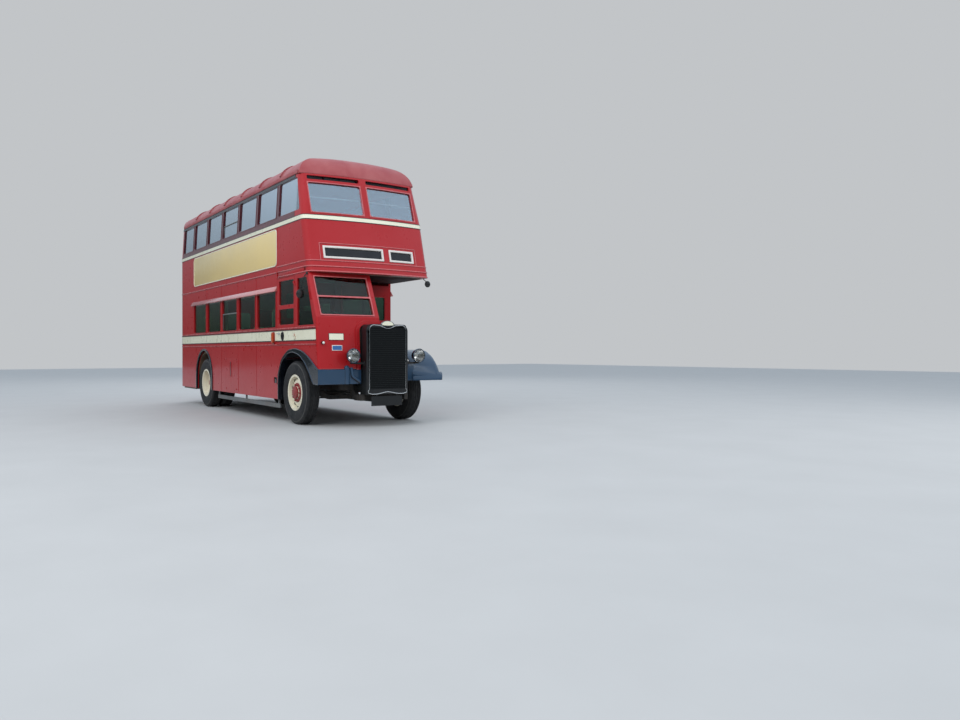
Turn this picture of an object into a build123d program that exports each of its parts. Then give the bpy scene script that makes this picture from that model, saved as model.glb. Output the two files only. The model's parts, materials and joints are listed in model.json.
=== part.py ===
from build123d import *
import math
import os

os.makedirs("parts", exist_ok=True)

# A half-cab double-decker bus with an open platform at its nearside rear corner.
# Millimetres, +X forward, +Y to the nearside (left), +Z up. The origin is on the ground below the
# middle of the bus's length and width.

# Overall sizes
overall_length = 8180
body_width = 2286
front_overhang = 1220          # front axle to the radiator's face
rear_overhang = 2007
tyre_radius = 530

# Heights above the ground
skirt_z = 390
platform_z = 400
lower_floor_z = 740
cab_floor_z = 1120
waist_moulding_z = 1335
waist_band_z = (1405, 1570)
lower_window_z = (1640, 2270)
deck_z = 2600
canopy_z = deck_z - 105
upper_band_z = (3380, 3446)
upper_window_z = (3550, 4110)
gutter_z = 4165
roof_z = 4525

# Bays along the saloons
bulkhead_back = 660            # front bulkhead behind the front axle
bay_count = 5
saloon_ends = 3055             # the bus's length outside its five bays
pillar_width = 110
window_corner = 35

# Panels
wall = 45
floor_thickness = 40
glass_thickness = 6
glass_gap = 0.3
side_lean = 43                 # how far each side leans in between the upper waist and the gutter
rear_corner_radius = 250
front_corner_radius = 110
corner_post = 150

# Places along X that follow from the sizes above
half_length = overall_length / 2
half_width = body_width / 2
front_axle_x = half_length - front_overhang
wheelbase = overall_length - front_overhang - rear_overhang
rear_axle_x = front_axle_x - wheelbase
rear_x = -half_length
bulkhead_x = front_axle_x - bulkhead_back
bay_pitch = (overall_length - saloon_ends) / bay_count
pillar_xs = [bulkhead_x - bay_pitch * i for i in range(bay_count + 1)]
rear_bulkhead_x = pillar_xs[-1]
inner_half = half_width - wall

# The upper deck's front: how far its foot, waist and gutter stand ahead of the front axle
front_foot_reach = 790
front_waist_reach = 546
front_gutter_reach = 320
front_bow_radius = 6100
upper_waist_z = 3450

nodes = {}


def box(x, y, z):
    size = [abs(b - a) for a, b in (x, y, z)]
    middle = [(a + b) / 2 for a, b in (x, y, z)]
    return Pos(*middle) * Box(*size)


def prism_xz(points, y0, y1):
    outline = make_face(Polyline(*[(x, y0, z) for x, z in points], close=True))
    return extrude(outline, amount=y1 - y0, dir=(0, 1, 0))


def prism_yz(points, x0, x1):
    outline = make_face(Polyline(*[(x0, y, z) for y, z in points], close=True))
    return extrude(outline, amount=x1 - x0, dir=(1, 0, 0))


def rod(start, end, radius):
    line = Line(start, end)
    return sweep(Plane(line @ 0, z_dir=line % 0) * Circle(radius), path=line)


def bent_rod(points, bend, radius):
    path = FilletPolyline(*points, radius=bend)
    return sweep(Plane(path @ 0, z_dir=path % 0) * Circle(radius), path=path)


def cylinder_y(x, y, z, radius):
    middle = Pos(x, (y[0] + y[1]) / 2, z) * Rot(90, 0, 0)
    return middle * Cylinder(radius, abs(y[1] - y[0]))


def window_xz(x, z, y, shrink=0.0, corner=window_corner):
    """A rounded pane-shaped block across a side wall, from y[0] to y[1]."""
    width = x[1] - x[0] - 2 * shrink
    height = z[1] - z[0] - 2 * shrink
    place = Pos((x[0] + x[1]) / 2, (y[0] + y[1]) / 2, (z[0] + z[1]) / 2) * Rot(90, 0, 0)
    return place * extrude(RectangleRounded(width, height, corner), amount=abs(y[1] - y[0]) / 2, both=True)


def window_yz(y, z, x, shrink=0.0, corner=window_corner):
    """A rounded pane-shaped block across an end wall, from x[0] to x[1]."""
    width = y[1] - y[0] - 2 * shrink
    height = z[1] - z[0] - 2 * shrink
    place = Pos((x[0] + x[1]) / 2, (y[0] + y[1]) / 2, (z[0] + z[1]) / 2) * Rot(0, 90, 0)
    return place * extrude(RectangleRounded(height, width, corner), amount=abs(x[1] - x[0]) / 2, both=True)


def mirrored(shape):
    return mirror(shape, about=Plane.XZ)


def keep(name, *shapes):
    solids = []
    for shape in shapes:
        solids += shape.solids()
    nodes[name] = Compound(children=solids) if len(solids) > 1 else solids[0]


# Barrel hinges: each has a fixed knuckle that holds the pin and a moving one that turns on it
barrel_radius = 8
hinge_pin_radius = 4
knuckle_length = 45
pin_clearance = 0.05
strap_reach = 55


def hinge(plane, fixed_turn=0, fixed_seat=barrel_radius):
    """Knuckles along the plane's Z from its origin, on the pin. The piece that moves lies toward local +X, its outer face
    barrel_radius below the pin. The fixed strap lies toward -X, or turned about the pin."""
    length = knuckle_length - 1
    barrel = Pos(0, 0, length / 2) * Cylinder(barrel_radius, length)
    moving = barrel + Pos(strap_reach / 2, -barrel_radius / 2, length / 2) * Box(strap_reach, barrel_radius, length)
    moving = Pos(0, 0, knuckle_length) * moving
    moving -= Pos(0, 0, knuckle_length) * Cylinder(hinge_pin_radius + pin_clearance, 4 * knuckle_length)
    strap = Pos(-strap_reach / 2, -fixed_seat / 2, length / 2) * Box(strap_reach, fixed_seat, length)
    fixed = barrel + Rot(0, 0, fixed_turn) * strap
    fixed += Pos(0, 0, knuckle_length - 0.5) * Cylinder(hinge_pin_radius, 2 * knuckle_length - 1)
    return plane * fixed, plane * moving


# Bays: the windows' ends along X, from the front bulkhead back
bays = [(pillar_xs[i + 1] + pillar_width / 2, pillar_xs[i] - pillar_width / 2) for i in range(bay_count)]

# Wheel arches, shared by the side walls and what surrounds the wheels
rear_arch_half = 570
rear_arch_top = 1240
front_arch_back = 600          # front arch's rear edge, behind the front axle
arch_shoulder_z = 800          # where that edge turns in over the wheel


def rear_arch(y0, y1, grow=0):
    half = rear_arch_half + grow
    spring_z = rear_arch_top - rear_arch_half
    return cylinder_y(rear_axle_x, (y0, y1), spring_z, half) + box(
        (rear_axle_x - half, rear_axle_x + half), (y0, y1), (0, spring_z))


# Lower deck sides
def lower_side(sign, rear_end, windows):
    y = sorted((sign * half_width, sign * inner_half))
    across = (y[0] - 10, y[1] + 10)
    panel = box((rear_end, bulkhead_x), y, (skirt_z, deck_z))
    for x in windows:
        panel -= window_xz(x, lower_window_z, across)
    panel -= rear_arch(*across)
    return panel + box((bulkhead_x, front_axle_x - front_arch_back), y, (skirt_z, arch_shoulder_z))


rear_wall_x = rear_x + rear_corner_radius + 30
offside_lower = lower_side(-1, rear_wall_x, bays)
keep("lower_side_offside", offside_lower)

entrance_head_z = deck_z - 270
nearside_lower = lower_side(1, rear_bulkhead_x - pillar_width / 2, bays)
nearside_lower += box((rear_wall_x, rear_bulkhead_x - pillar_width / 2), (inner_half, half_width),
                      (entrance_head_z, deck_z))
keep("lower_side_nearside", nearside_lower)

# Lower rear: a wall round both rear corners, open on the nearside for the platform
rear_window = {"y": (-350, 650), "z": (1300, 2200)}
rear_outer = box((rear_x, rear_wall_x), (-half_width, half_width), (skirt_z, deck_z))
rear_outer = fillet(rear_outer.edges().filter_by(Axis.Z).group_by(Axis.X)[0], rear_corner_radius)
rear_inner = box((rear_x + wall, rear_wall_x + 1), (-inner_half, inner_half), (skirt_z - 1, deck_z + 1))
rear_inner = fillet(rear_inner.edges().filter_by(Axis.Z).group_by(Axis.X)[0], rear_corner_radius - wall)
lower_rear = rear_outer - rear_inner
lower_rear -= window_yz(rear_window["y"], rear_window["z"], (rear_x - 10, rear_x + wall + 10), corner=80)
keep("lower_rear", lower_rear)

# Lower floor with its wheel boxes, and the platform one step down
wheel_box_radius = 620
wheel_box_top = lower_floor_z + 470
wheel_box_inner = half_width - 623
floor_x = (rear_bulkhead_x, bulkhead_x)
lower_floor = box(floor_x, (-inner_half, inner_half), (lower_floor_z - floor_thickness, lower_floor_z))
box_centre_z = wheel_box_top - wheel_box_radius
for sign in (-1, 1):
    y = sorted((sign * inner_half, sign * wheel_box_inner))
    cover = cylinder_y(rear_axle_x, y, box_centre_z, wheel_box_radius) + box(
        (rear_axle_x - wheel_box_radius, rear_axle_x + wheel_box_radius), y, (lower_floor_z - floor_thickness, box_centre_z))
    cover &= box((-half_length, half_length), y, (lower_floor_z - floor_thickness, wheel_box_top))
    hollow_y = sorted((sign * (inner_half + 1), sign * (wheel_box_inner + 25)))
    hollow = cylinder_y(rear_axle_x, hollow_y, box_centre_z, wheel_box_radius - 25) + box(
        (rear_axle_x - wheel_box_radius + 25, rear_axle_x + wheel_box_radius - 25), hollow_y, (0, box_centre_z))
    lower_floor = lower_floor + cover - hollow
platform = box((rear_x + rear_corner_radius, rear_bulkhead_x), (-inner_half, inner_half), (platform_z - 45, platform_z))
platform += box((rear_wall_x, rear_bulkhead_x - pillar_width / 2), (inner_half, half_width), (platform_z - 45, platform_z))
platform += box((rear_x + wall, rear_x + rear_corner_radius), (-inner_half + 210, inner_half - 210), (platform_z - 45, platform_z))
riser = box((rear_bulkhead_x, rear_bulkhead_x + 30), (-inner_half, inner_half), (platform_z, lower_floor_z - floor_thickness))
platform += box((rear_bulkhead_x, rear_bulkhead_x + 30), (-inner_half, inner_half), (platform_z - 45, platform_z))
keep("lower_floor", lower_floor + riser + platform)

# Bulkheads across the lower saloon: the front one has windows, the rear one a doorway
aisle_half = 330
front_bulkhead = box((bulkhead_x, bulkhead_x + wall), (-inner_half, inner_half), (lower_floor_z - floor_thickness, canopy_z - 45))
bulkhead_windows = [(130, inner_half - 113), (-inner_half + 113, -130)]
bulkhead_window_z = (1800, 2230)
for y in bulkhead_windows:
    front_bulkhead -= window_yz(y, bulkhead_window_z, (bulkhead_x - 10, bulkhead_x + wall + 10))
rear_bulkhead = box((rear_bulkhead_x, rear_bulkhead_x + wall), (-inner_half, inner_half), (lower_floor_z, deck_z - floor_thickness))
rear_bulkhead -= box((rear_bulkhead_x - 10, rear_bulkhead_x + wall + 10), (-aisle_half, aisle_half), (lower_floor_z - 1, deck_z - 150))
rear_bulkhead_window = {"y": (aisle_half + 100, inner_half - 98), "z": (1640, 2230)}
rear_bulkhead -= window_yz(rear_bulkhead_window["y"], rear_bulkhead_window["z"],
                           (rear_bulkhead_x - 10, rear_bulkhead_x + wall + 10))
keep("front_bulkhead", front_bulkhead)
keep("rear_bulkhead", rear_bulkhead)

# Upper deck shell: sides that lean in above the waist, and rounded rear corners
gutter_half = half_width - side_lean


def upper_profile(inset):
    return [(-half_width + inset, deck_z), (-half_width + inset, upper_waist_z), (-gutter_half + inset, gutter_z),
            (gutter_half - inset, gutter_z), (half_width - inset, upper_waist_z), (half_width - inset, deck_z)]


front_far_x = front_axle_x + front_foot_reach
bow_axis_x = front_far_x - front_bow_radius


def front_zone(inset, low_z, high_z, ahead=400):
    """Everything ahead of the bowed front face, moved back by inset: a revolved block that leans back."""
    outline = [(front_far_x - inset, canopy_z), (front_axle_x + front_waist_reach - inset, upper_waist_z),
               (front_axle_x + front_gutter_reach - inset, gutter_z)]
    top_lean = (front_waist_reach - front_gutter_reach) / (gutter_z - upper_waist_z)
    outline = [p for p in outline if low_z <= p[1] <= high_z]
    if high_z > gutter_z:
        outline.append((front_axle_x + front_gutter_reach - inset - top_lean * (high_z - gutter_z), high_z))
    outline += [(front_far_x + ahead, high_z), (front_far_x + ahead, canopy_z)]
    face = make_face(Polyline(*[(x, 0, z) for x, z in outline], close=True))
    half_turn = 14
    swept = revolve(face, axis=Axis((bow_axis_x, 0, 0), (0, 0, 1)), revolution_arc=2 * half_turn)
    return swept.rotate(Axis((bow_axis_x, 0, 0), (0, 0, 1)), -half_turn)


def rear_rounded(inset, radius):
    block = prism_yz(upper_profile(inset), rear_x + inset, front_far_x + 50)
    edges = [e for e in block.edges() if abs(e.center().X - rear_x - inset) < 1 and abs(e.center().Y) > gutter_half - 60
             and e.bounding_box().size.Z > 300]
    return fillet(edges, radius)


front_face_cut = front_zone(0, canopy_z, gutter_z)
post_cut = front_zone(corner_post, canopy_z, gutter_z)
upper_shell = rear_rounded(0, rear_corner_radius) - rear_rounded(wall, rear_corner_radius - wall)
upper_side_shell = upper_shell & box((rear_wall_x, half_length), (-half_width, half_width), (deck_z, gutter_z))
upper_side_shell -= post_cut
rear_shell = upper_shell & box((rear_x, rear_wall_x), (-half_width, half_width), (deck_z, gutter_z))

rear_quarter = (rear_wall_x + 60, rear_bulkhead_x - pillar_width / 2)
upper_windows = bays + [rear_quarter]
front_quarter = [(pillar_xs[0] + pillar_width / 2, upper_window_z[0]), (front_axle_x + 300, upper_window_z[0]),
                 (front_axle_x + 140, upper_window_z[1]), (pillar_xs[0] + pillar_width / 2, upper_window_z[1])]


def front_quarter_block(y0, y1, shrink=0.0):
    block = prism_xz(front_quarter, y0, y1)
    block = fillet(block.edges().filter_by(Axis.Y), window_corner)
    return offset_block(block, shrink) if shrink else block


def offset_block(block, shrink):
    outline = offset(block.faces().sort_by(Axis.Y)[0].outer_wire(), -shrink)
    return extrude(make_face(outline), amount=block.bounding_box().size.Y, dir=(0, 1, 0))


for sign, name in ((-1, "upper_side_offside"), (1, "upper_side_nearside")):
    side = upper_side_shell & box((-half_length, half_length), sorted((0, sign * half_width)), (deck_z, gutter_z))
    across = sorted((sign * (gutter_half - 120), sign * (half_width + 10)))
    for x in upper_windows:
        side -= window_xz(x, upper_window_z, across)
    side -= front_quarter_block(*across)
    keep(name, side)

# Upper front: bowed and leaning back, with a post in each corner, two windows and their vents
envelope = [(-half_width, canopy_z), (-half_width, upper_waist_z), (-gutter_half, gutter_z),
            (gutter_half, gutter_z), (half_width, upper_waist_z), (half_width, canopy_z)]
front_block = prism_yz(envelope, bulkhead_x, front_far_x + 50) - front_face_cut
corner_edges = [e for e in front_block.edges() if e.center().X > front_axle_x + 200 and e.bounding_box().size.Z > 300
                and abs(e.center().Y) > gutter_half - 10]
front_block = fillet(corner_edges, front_corner_radius)
front_skin = front_block & front_zone(wall, canopy_z, gutter_z)
front_posts = front_block & post_cut
front_posts -= box((bulkhead_x, half_length), (-half_width + 130, half_width - 130), (canopy_z, gutter_z))
upper_front = front_skin + front_posts
upper_front -= front_quarter_block(-half_width - 10, half_width + 10)
front_windows = [(-half_width + 158, -65), (65, half_width - 158)]
front_glass_z = (3500, 4010)
front_vent_z = (4070, 4135)
front_reach_x = (front_axle_x, front_far_x + 100)
for y in front_windows:
    upper_front -= window_yz(y, front_glass_z, front_reach_x)
    upper_front -= window_yz(y, front_vent_z, front_reach_x, corner=15)
# Destination boxes: shallow recesses in the front panel
destinations = [{"y": (-half_width + 273, 215), "z": (2720, 2930)}, {"y": (325, half_width - 313), "z": (2720, 2930)}]
recess_x = front_far_x - 400
recess_depth = 25
recess = front_zone(recess_depth, canopy_z, gutter_z)
for blind in destinations:
    upper_front -= box((recess_x, front_far_x + 100), blind["y"], blind["z"]) & recess
keep("upper_front", upper_front)

# Upper rear wall with its emergency door
door_y = (-420, 420)
door_z = (deck_z + 60, 4020)
hinge_gap = 6
upper_rear = rear_shell - box((rear_x - 10, rear_x + wall + 10), door_y, door_z)
emergency_door = box((rear_x, rear_x + wall), (door_y[0] + hinge_gap, door_y[1] - hinge_gap),
                     (door_z[0] + hinge_gap, door_z[1] - hinge_gap))
emergency_window = {"y": (-320, 320), "z": (upper_window_z[0], 3940)}
emergency_door -= window_yz(emergency_window["y"], emergency_window["z"], (rear_x - 10, rear_x + wall + 10), corner=80)
for z in (door_z[0] + 180, door_z[1] - 270):
    fixed, moving = hinge(Plane((rear_x - barrel_radius, door_y[0] + hinge_gap / 2, z), x_dir=(0, 1, 0), z_dir=(0, 0, 1)))
    upper_rear += fixed
    emergency_door += moving
keep("upper_rear", upper_rear)
keep("emergency_door", emergency_door)
keep("emergency_glass", window_yz(emergency_window["y"], emergency_window["z"],
                                  (rear_x + wall / 2 - 3, rear_x + wall / 2 + 3), shrink=glass_gap, corner=80))

# Upper floor: over the lower saloon and the platform, and forward over the cab and bonnet
stair_well = {"x": (rear_x + 330, rear_bulkhead_x - 30), "y": (-inner_half + 40, -340)}
upper_floor = box((rear_x + wall + 2, bulkhead_x + wall), (-inner_half, inner_half), (deck_z - floor_thickness, deck_z))
upper_floor &= rear_rounded(wall, rear_corner_radius - wall).moved(Location((0, 0, -200))) + box(
    (rear_wall_x, half_length), (-inner_half, inner_half), (deck_z - 200, deck_z))
upper_floor -= box(stair_well["x"], stair_well["y"], (deck_z - 100, deck_z + 10))
canopy = box((bulkhead_x + wall, front_far_x), (-inner_half + 86, inner_half - 86), (canopy_z, deck_z)) - front_zone(
    wall, canopy_z, gutter_z)
canopy += box((bulkhead_x, front_axle_x + 300), (-inner_half, inner_half), (canopy_z, deck_z))
canopy -= front_zone(corner_post, canopy_z, gutter_z) & (
    box((bulkhead_x, half_length), (-half_width, -half_width + 131), (0, gutter_z))
    + box((bulkhead_x, half_length), (half_width - 131, half_width), (0, gutter_z)))
keep("upper_floor", upper_floor + canopy)

# Roof: a crown with tight side curves, a bowed front dome and a rounded rear dome
roof_thickness = 35
roof_side_run = 312
crown_drop = 50
front_dome_radius = 300
rear_dome_radius = 330
roof_foot_z = gutter_z - 30    # the blocks that make the roof start here and are trimmed at the gutter


def roof_section(inset):
    """The roof's section across the bus, run from its rear end past its front."""
    x0 = rear_x + inset
    edge = gutter_half - inset
    side_y = gutter_half - roof_side_run
    side_z = roof_z - crown_drop - inset
    crown = ThreePointArc((x0, -side_y, side_z), (x0, 0, roof_z - inset), (x0, side_y, side_z))
    right = TangentArc((x0, side_y, side_z), (x0, edge, gutter_z), tangent=crown % 1)
    left = mirror(right, about=Plane.XZ)
    foot = Polyline((x0, -edge, gutter_z), (x0, -edge, roof_foot_z), (x0, edge, roof_foot_z), (x0, edge, gutter_z))
    return extrude(make_face([crown, right, left, foot]), amount=front_far_x - x0, dir=(1, 0, 0))


def roof_ahead(inset):
    """All that lies ahead of the bowed front dome."""
    gutter_x = front_axle_x + front_gutter_reach - inset
    top_z = roof_z - inset
    lean = (front_waist_reach - front_gutter_reach) / (gutter_z - upper_waist_z)
    drop = gutter_z - roof_foot_z + 1
    foot = (gutter_x + lean * drop, 0, roof_foot_z - 1)
    knee = (gutter_x - lean * 60, 0, gutter_z + 60)
    rise = Line(foot, knee)
    dome = TangentArc(knee, (knee[0] - front_dome_radius, 0, top_z + 1), tangent=rise % 1)
    rest = Polyline(dome @ 1, (knee[0] - front_dome_radius, 0, top_z + 200), (front_far_x + 300, 0, top_z + 200),
                    (front_far_x + 300, 0, roof_foot_z - 1), foot)
    half_turn = 15
    swept = revolve(make_face([rise, dome, rest]), axis=Axis((bow_axis_x, 0, 0), (0, 0, 1)), revolution_arc=2 * half_turn)
    return swept.rotate(Axis((bow_axis_x, 0, 0), (0, 0, 1)), -half_turn)


def roof_behind(inset):
    """All that lies behind and above the rear dome."""
    foot_x = rear_x + inset
    top_z = roof_z - inset
    arc = TangentArc((foot_x - 1, -body_width, top_z - rear_dome_radius), (foot_x + rear_dome_radius, -body_width, top_z + 1),
                     tangent=(0, 0, 1))
    rest = Polyline(arc @ 1, (foot_x + rear_dome_radius, -body_width, top_z + 200), (foot_x - 200, -body_width, top_z + 200),
                    (foot_x - 200, -body_width, top_z - rear_dome_radius), arc @ 0)
    return extrude(make_face([arc, rest]), amount=2 * body_width, dir=(0, 1, 0))


def roof_block(inset):
    plan = box((rear_x + inset, half_length), (-gutter_half + inset, gutter_half - inset), (roof_foot_z - 1, roof_z + 50))
    plan = fillet(plan.edges().filter_by(Axis.Z).group_by(Axis.X)[0], rear_corner_radius - inset)
    return (roof_section(inset) & plan) - roof_behind(inset) - roof_ahead(inset)


roof = roof_block(0) - roof_block(roof_thickness)
roof &= box((rear_x, half_length), (-half_width, half_width), (gutter_z, roof_z))
# Ribs over the roof above the pillars, and a drip rail along each side
rib_half = 23
rib_proud = 22
rib_foot_z = gutter_z + 100
rib_form = roof_section(-rib_proud) - roof_section(roof_thickness / 2)
for x in pillar_xs:
    roof += rib_form & box((x - rib_half, x + rib_half), (-body_width, body_width), (rib_foot_z, roof_z + 50))
drip_z = (gutter_z, gutter_z + 62)
drip_x = (rear_wall_x, front_axle_x + 165)
for sign in (-1, 1):
    roof += box(drip_x, sorted((sign * (gutter_half - 22), sign * (gutter_half + 16))), drip_z)
keep("roof", roof)

print("body shell done")

# Cab: half width, on the offside beside the bonnet
cab_inner_y = -20              # the cab's nearside wall, beside the bonnet lid
door_front_x = front_axle_x + 112
cab_head_reach = 640
cab_knee_reach = 970
cab_foot_reach = 1040
cab_knee_z = 1765
cab_foot_z = 930
cab_front_line = [(front_axle_x + cab_head_reach, canopy_z), (front_axle_x + cab_knee_reach, cab_knee_z),
                  (front_axle_x + cab_foot_reach, cab_foot_z)]
cab_front_back = [(x - wall, z) for x, z in reversed(cab_front_line)]
bonnet_half = 410
bonnet_z = 1655
cab_front = prism_xz(cab_front_line + cab_front_back, -half_width, cab_inner_y)
outer_edges = cab_front.edges().filter_by(lambda e: abs(e.center().Y + half_width) < 1 and e.bounding_box().size.Z > 300)
cab_corner = [max((e for e in outer_edges if (e.center().Z > cab_knee_z) == above), key=lambda e: e.center().X)
              for above in (True, False)]
cab_front = fillet(cab_corner, 36)


def scuttle(grow, x):
    """The opening for the bonnet and radiator in the cab's front, with a rounded shoulder."""
    block = box(x, (-bonnet_half - grow, 300), (0, bonnet_z + grow))
    shoulder = block.edges().filter_by(Axis.X).group_by(Axis.Z)[-1].sort_by(Axis.Y)[0]
    return fillet(shoulder, scuttle_radius + grow)


scuttle_radius = 120
scuttle_flange = 60
ahead_of_cab = prism_xz([(x + 28, z) for x, z in cab_front_line] + [(x - 20, z) for x, z in reversed(cab_front_line)],
                        -half_width, cab_inner_y)
cab_front += ahead_of_cab & (scuttle(scuttle_flange, (front_axle_x + 700, half_length)) - scuttle(0, (front_axle_x, half_length + 1)))
cab_front -= scuttle(0, (front_axle_x, half_length + 1))
windscreen = {"y": (-half_width + 93, cab_inner_y - 95), "z": (1805, 2420)}
windscreen_reach = (front_axle_x + 400, front_axle_x + 1100)
windscreen_bar_z = (2085, 2110)
cab_front -= window_yz(windscreen["y"], (windscreen["z"][0], windscreen_bar_z[0]), windscreen_reach, corner=25)
cab_front -= window_yz(windscreen["y"], (windscreen_bar_z[1], windscreen["z"][1]), windscreen_reach, corner=25)
# Cab offside: the quarter panel ahead of the door and the strip under it, shaped round the wing
wing_outer = [(-front_arch_back, skirt_z), (-front_arch_back, arch_shoulder_z), (-430, 1090), (-150, 1240), (152, 1268), (450, 1225),
              (700, 1127), (1006, 955)]
wing_inner_y = -half_width + 453
apron_x = (front_axle_x + 1040, front_axle_x + 1062)
apron_z = (700, 930)


def wing_block(y0, y1):
    """All that lies under the wing's outer line."""
    line = [(front_axle_x + x, z) for x, z in wing_outer]
    return prism_xz(line + [(apron_x[1], apron_z[1]), (apron_x[1], skirt_z)], y0, y1)


cab_front_panel = cab_front - wing_block(-half_width - 1, 0)
keep("cab_front", cab_front_panel)
cab_under = [(front_axle_x + x, z) for x, z in wing_outer[1:]]
cab_side_line = [(bulkhead_x, arch_shoulder_z)] + cab_under + [(front_axle_x + cab_foot_reach - wall, cab_foot_z + 25),
                                                   (front_axle_x + cab_knee_reach - wall, cab_knee_z),
                                                   (front_axle_x + cab_head_reach - wall, canopy_z), (bulkhead_x, canopy_z)]
cab_side = prism_xz(cab_side_line, -half_width, -inner_half)
cab_door_x = (bulkhead_x, door_front_x)
cab_door_z = (waist_moulding_z, canopy_z - 15)
cab_side -= box(cab_door_x, (-half_width - 10, -inner_half + 10), cab_door_z)
quarter_glass = [(door_front_x + 110, 1645), (front_axle_x + 870, 1645), (front_axle_x + 820, 1765),
                 (front_axle_x + 590, 2420), (door_front_x + 110, 2420)]
cab_side -= prism_xz(quarter_glass, -half_width - 10, -inner_half + 10)
door_gap = 6
cab_door = box((cab_door_x[0] + door_gap, cab_door_x[1] - door_gap), (-half_width, -inner_half),
               (cab_door_z[0] + door_gap, cab_door_z[1] - door_gap))
door_window_x = (bulkhead_x + 90, door_front_x - 40)
door_panes_z = [(1675, 1940), (2010, 2425)]
for z in door_panes_z:
    cab_door -= window_xz(door_window_x, z, (-half_width - 10, -inner_half + 10), corner=25)
for z in (cab_door_z[0] + 90, cab_door_z[1] - 180):
    fixed, moving = hinge(Plane((cab_door_x[1] - door_gap / 2, -half_width - barrel_radius, z), x_dir=(-1, 0, 0), z_dir=(0, 0, 1)))
    cab_side += fixed
    cab_door += moving
keep("cab_offside", cab_side - cab_front)
keep("cab_door", cab_door)
keep("cab_door_glass", *[window_xz(door_window_x, z, (-half_width + 20, -half_width + 26), shrink=glass_gap, corner=25)
                         for z in door_panes_z])

# Cab floor, the engine casing that stands in the cab and the cab's nearside wall above it
bonnet_front_x = front_axle_x + 1000
cab_floor = box((bulkhead_x + wall, front_axle_x + 960), (-inner_half, -bonnet_half), (cab_floor_z - 30, cab_floor_z))
casing = box((bulkhead_x + wall, bonnet_front_x), (-bonnet_half, -bonnet_half + 25), (cab_floor_z - 30, bonnet_z))
casing += box((bulkhead_x + wall, bonnet_front_x), (-bonnet_half, cab_inner_y), (bonnet_z - 25, bonnet_z))
casing &= scuttle(0, (bulkhead_x, bonnet_front_x))
inner_wall_line = [(bulkhead_x + wall, bonnet_z), (front_axle_x + 900, bonnet_z), (front_axle_x + 900, 1760),
                   (front_axle_x + 600, canopy_z), (bulkhead_x + wall, canopy_z)]
inner_wall = prism_xz(inner_wall_line, cab_inner_y - 30, cab_inner_y)
inner_glass = [(front_axle_x - 350, 1800), (front_axle_x + 760, 1800), (front_axle_x + 520, 2400), (front_axle_x - 350, 2400)]
inner_wall -= prism_xz(inner_glass, cab_inner_y - 40, cab_inner_y + 10)
inner_wall -= prism_xz(cab_front_line + [(half_length, cab_foot_z), (half_length, canopy_z)], -half_width, 10).moved(
    Location((-wall, 0, 0)))
driver_y = -half_width + 503
column_radius = 24
wheel_centre = (front_axle_x + 330, driver_y, 1770)
column_foot = (front_axle_x + 800, driver_y + 60, 720)
cab_floor -= rod(column_foot, wheel_centre, column_radius + 0.3)
keep("cab_floor", cab_floor - wing_block(-half_width, wing_inner_y + 1) + casing)

# Bonnet: its lid and nearside flank lift together on the hinge along the cab's nearside wall
bonnet_hinge_y = cab_inner_y + barrel_radius + 1
flank_foot_z = 1135
bonnet_x = (bulkhead_x + wall + 8, bonnet_front_x - 8)
bonnet_sheet = 25
bonnet_outer = box(bonnet_x, (bonnet_hinge_y + 3, bonnet_half), (flank_foot_z, bonnet_z))
bonnet_outer = fillet(bonnet_outer.edges().filter_by(Axis.X).group_by(Axis.Z)[-1].sort_by(Axis.Y)[-1], scuttle_radius)
bonnet_inner = box((bonnet_x[0] - 1, bonnet_x[1] + 1), (bonnet_hinge_y - 1, bonnet_half - bonnet_sheet), (0, bonnet_z - bonnet_sheet))
bonnet_inner = fillet(bonnet_inner.edges().filter_by(Axis.X).group_by(Axis.Z)[-1].sort_by(Axis.Y)[-1], scuttle_radius - bonnet_sheet)
bonnet = bonnet_outer - bonnet_inner
for x in (bonnet_x[0] + 100, bonnet_x[0] + 700, bonnet_x[0] + 1250):
    fixed, moving = hinge(Plane((x, bonnet_hinge_y, bonnet_z + barrel_radius), x_dir=(0, 1, 0), z_dir=(1, 0, 0)), fixed_turn=-90,
                          fixed_seat=bonnet_hinge_y - cab_inner_y)
    inner_wall += fixed
    bonnet += moving
keep("cab_nearside", inner_wall)
keep("bonnet", bonnet)
valance = box((bulkhead_x + wall, bonnet_front_x), (bonnet_half - 20, bonnet_half), (720, flank_foot_z - 8))
keep("engine_valance", valance)

# Radiator
radiator_half = 385
radiator_z = (530, bonnet_z)
radiator_x = (bonnet_front_x, half_length)
shell = box(radiator_x, (-radiator_half, radiator_half), radiator_z)
shell = fillet(shell.edges().filter_by(Axis.X).group_by(Axis.Z)[-1], 110)
core_margin = 45
shell -= box((half_length - 30, half_length + 10), (-radiator_half + core_margin, radiator_half - core_margin),
             (radiator_z[0] + 90, radiator_z[1] - 120))
core_x = half_length - 30
slat_half = 3
slat_gap = (2 * radiator_half - 2 * core_margin) / 18
for i in range(1, 18):
    y = -radiator_half + core_margin + i * slat_gap
    shell += box((core_x - 5, core_x + 12), (y - slat_half, y + slat_half), (radiator_z[0] + 85, radiator_z[1] - 115))
keep("radiator", shell)

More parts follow.
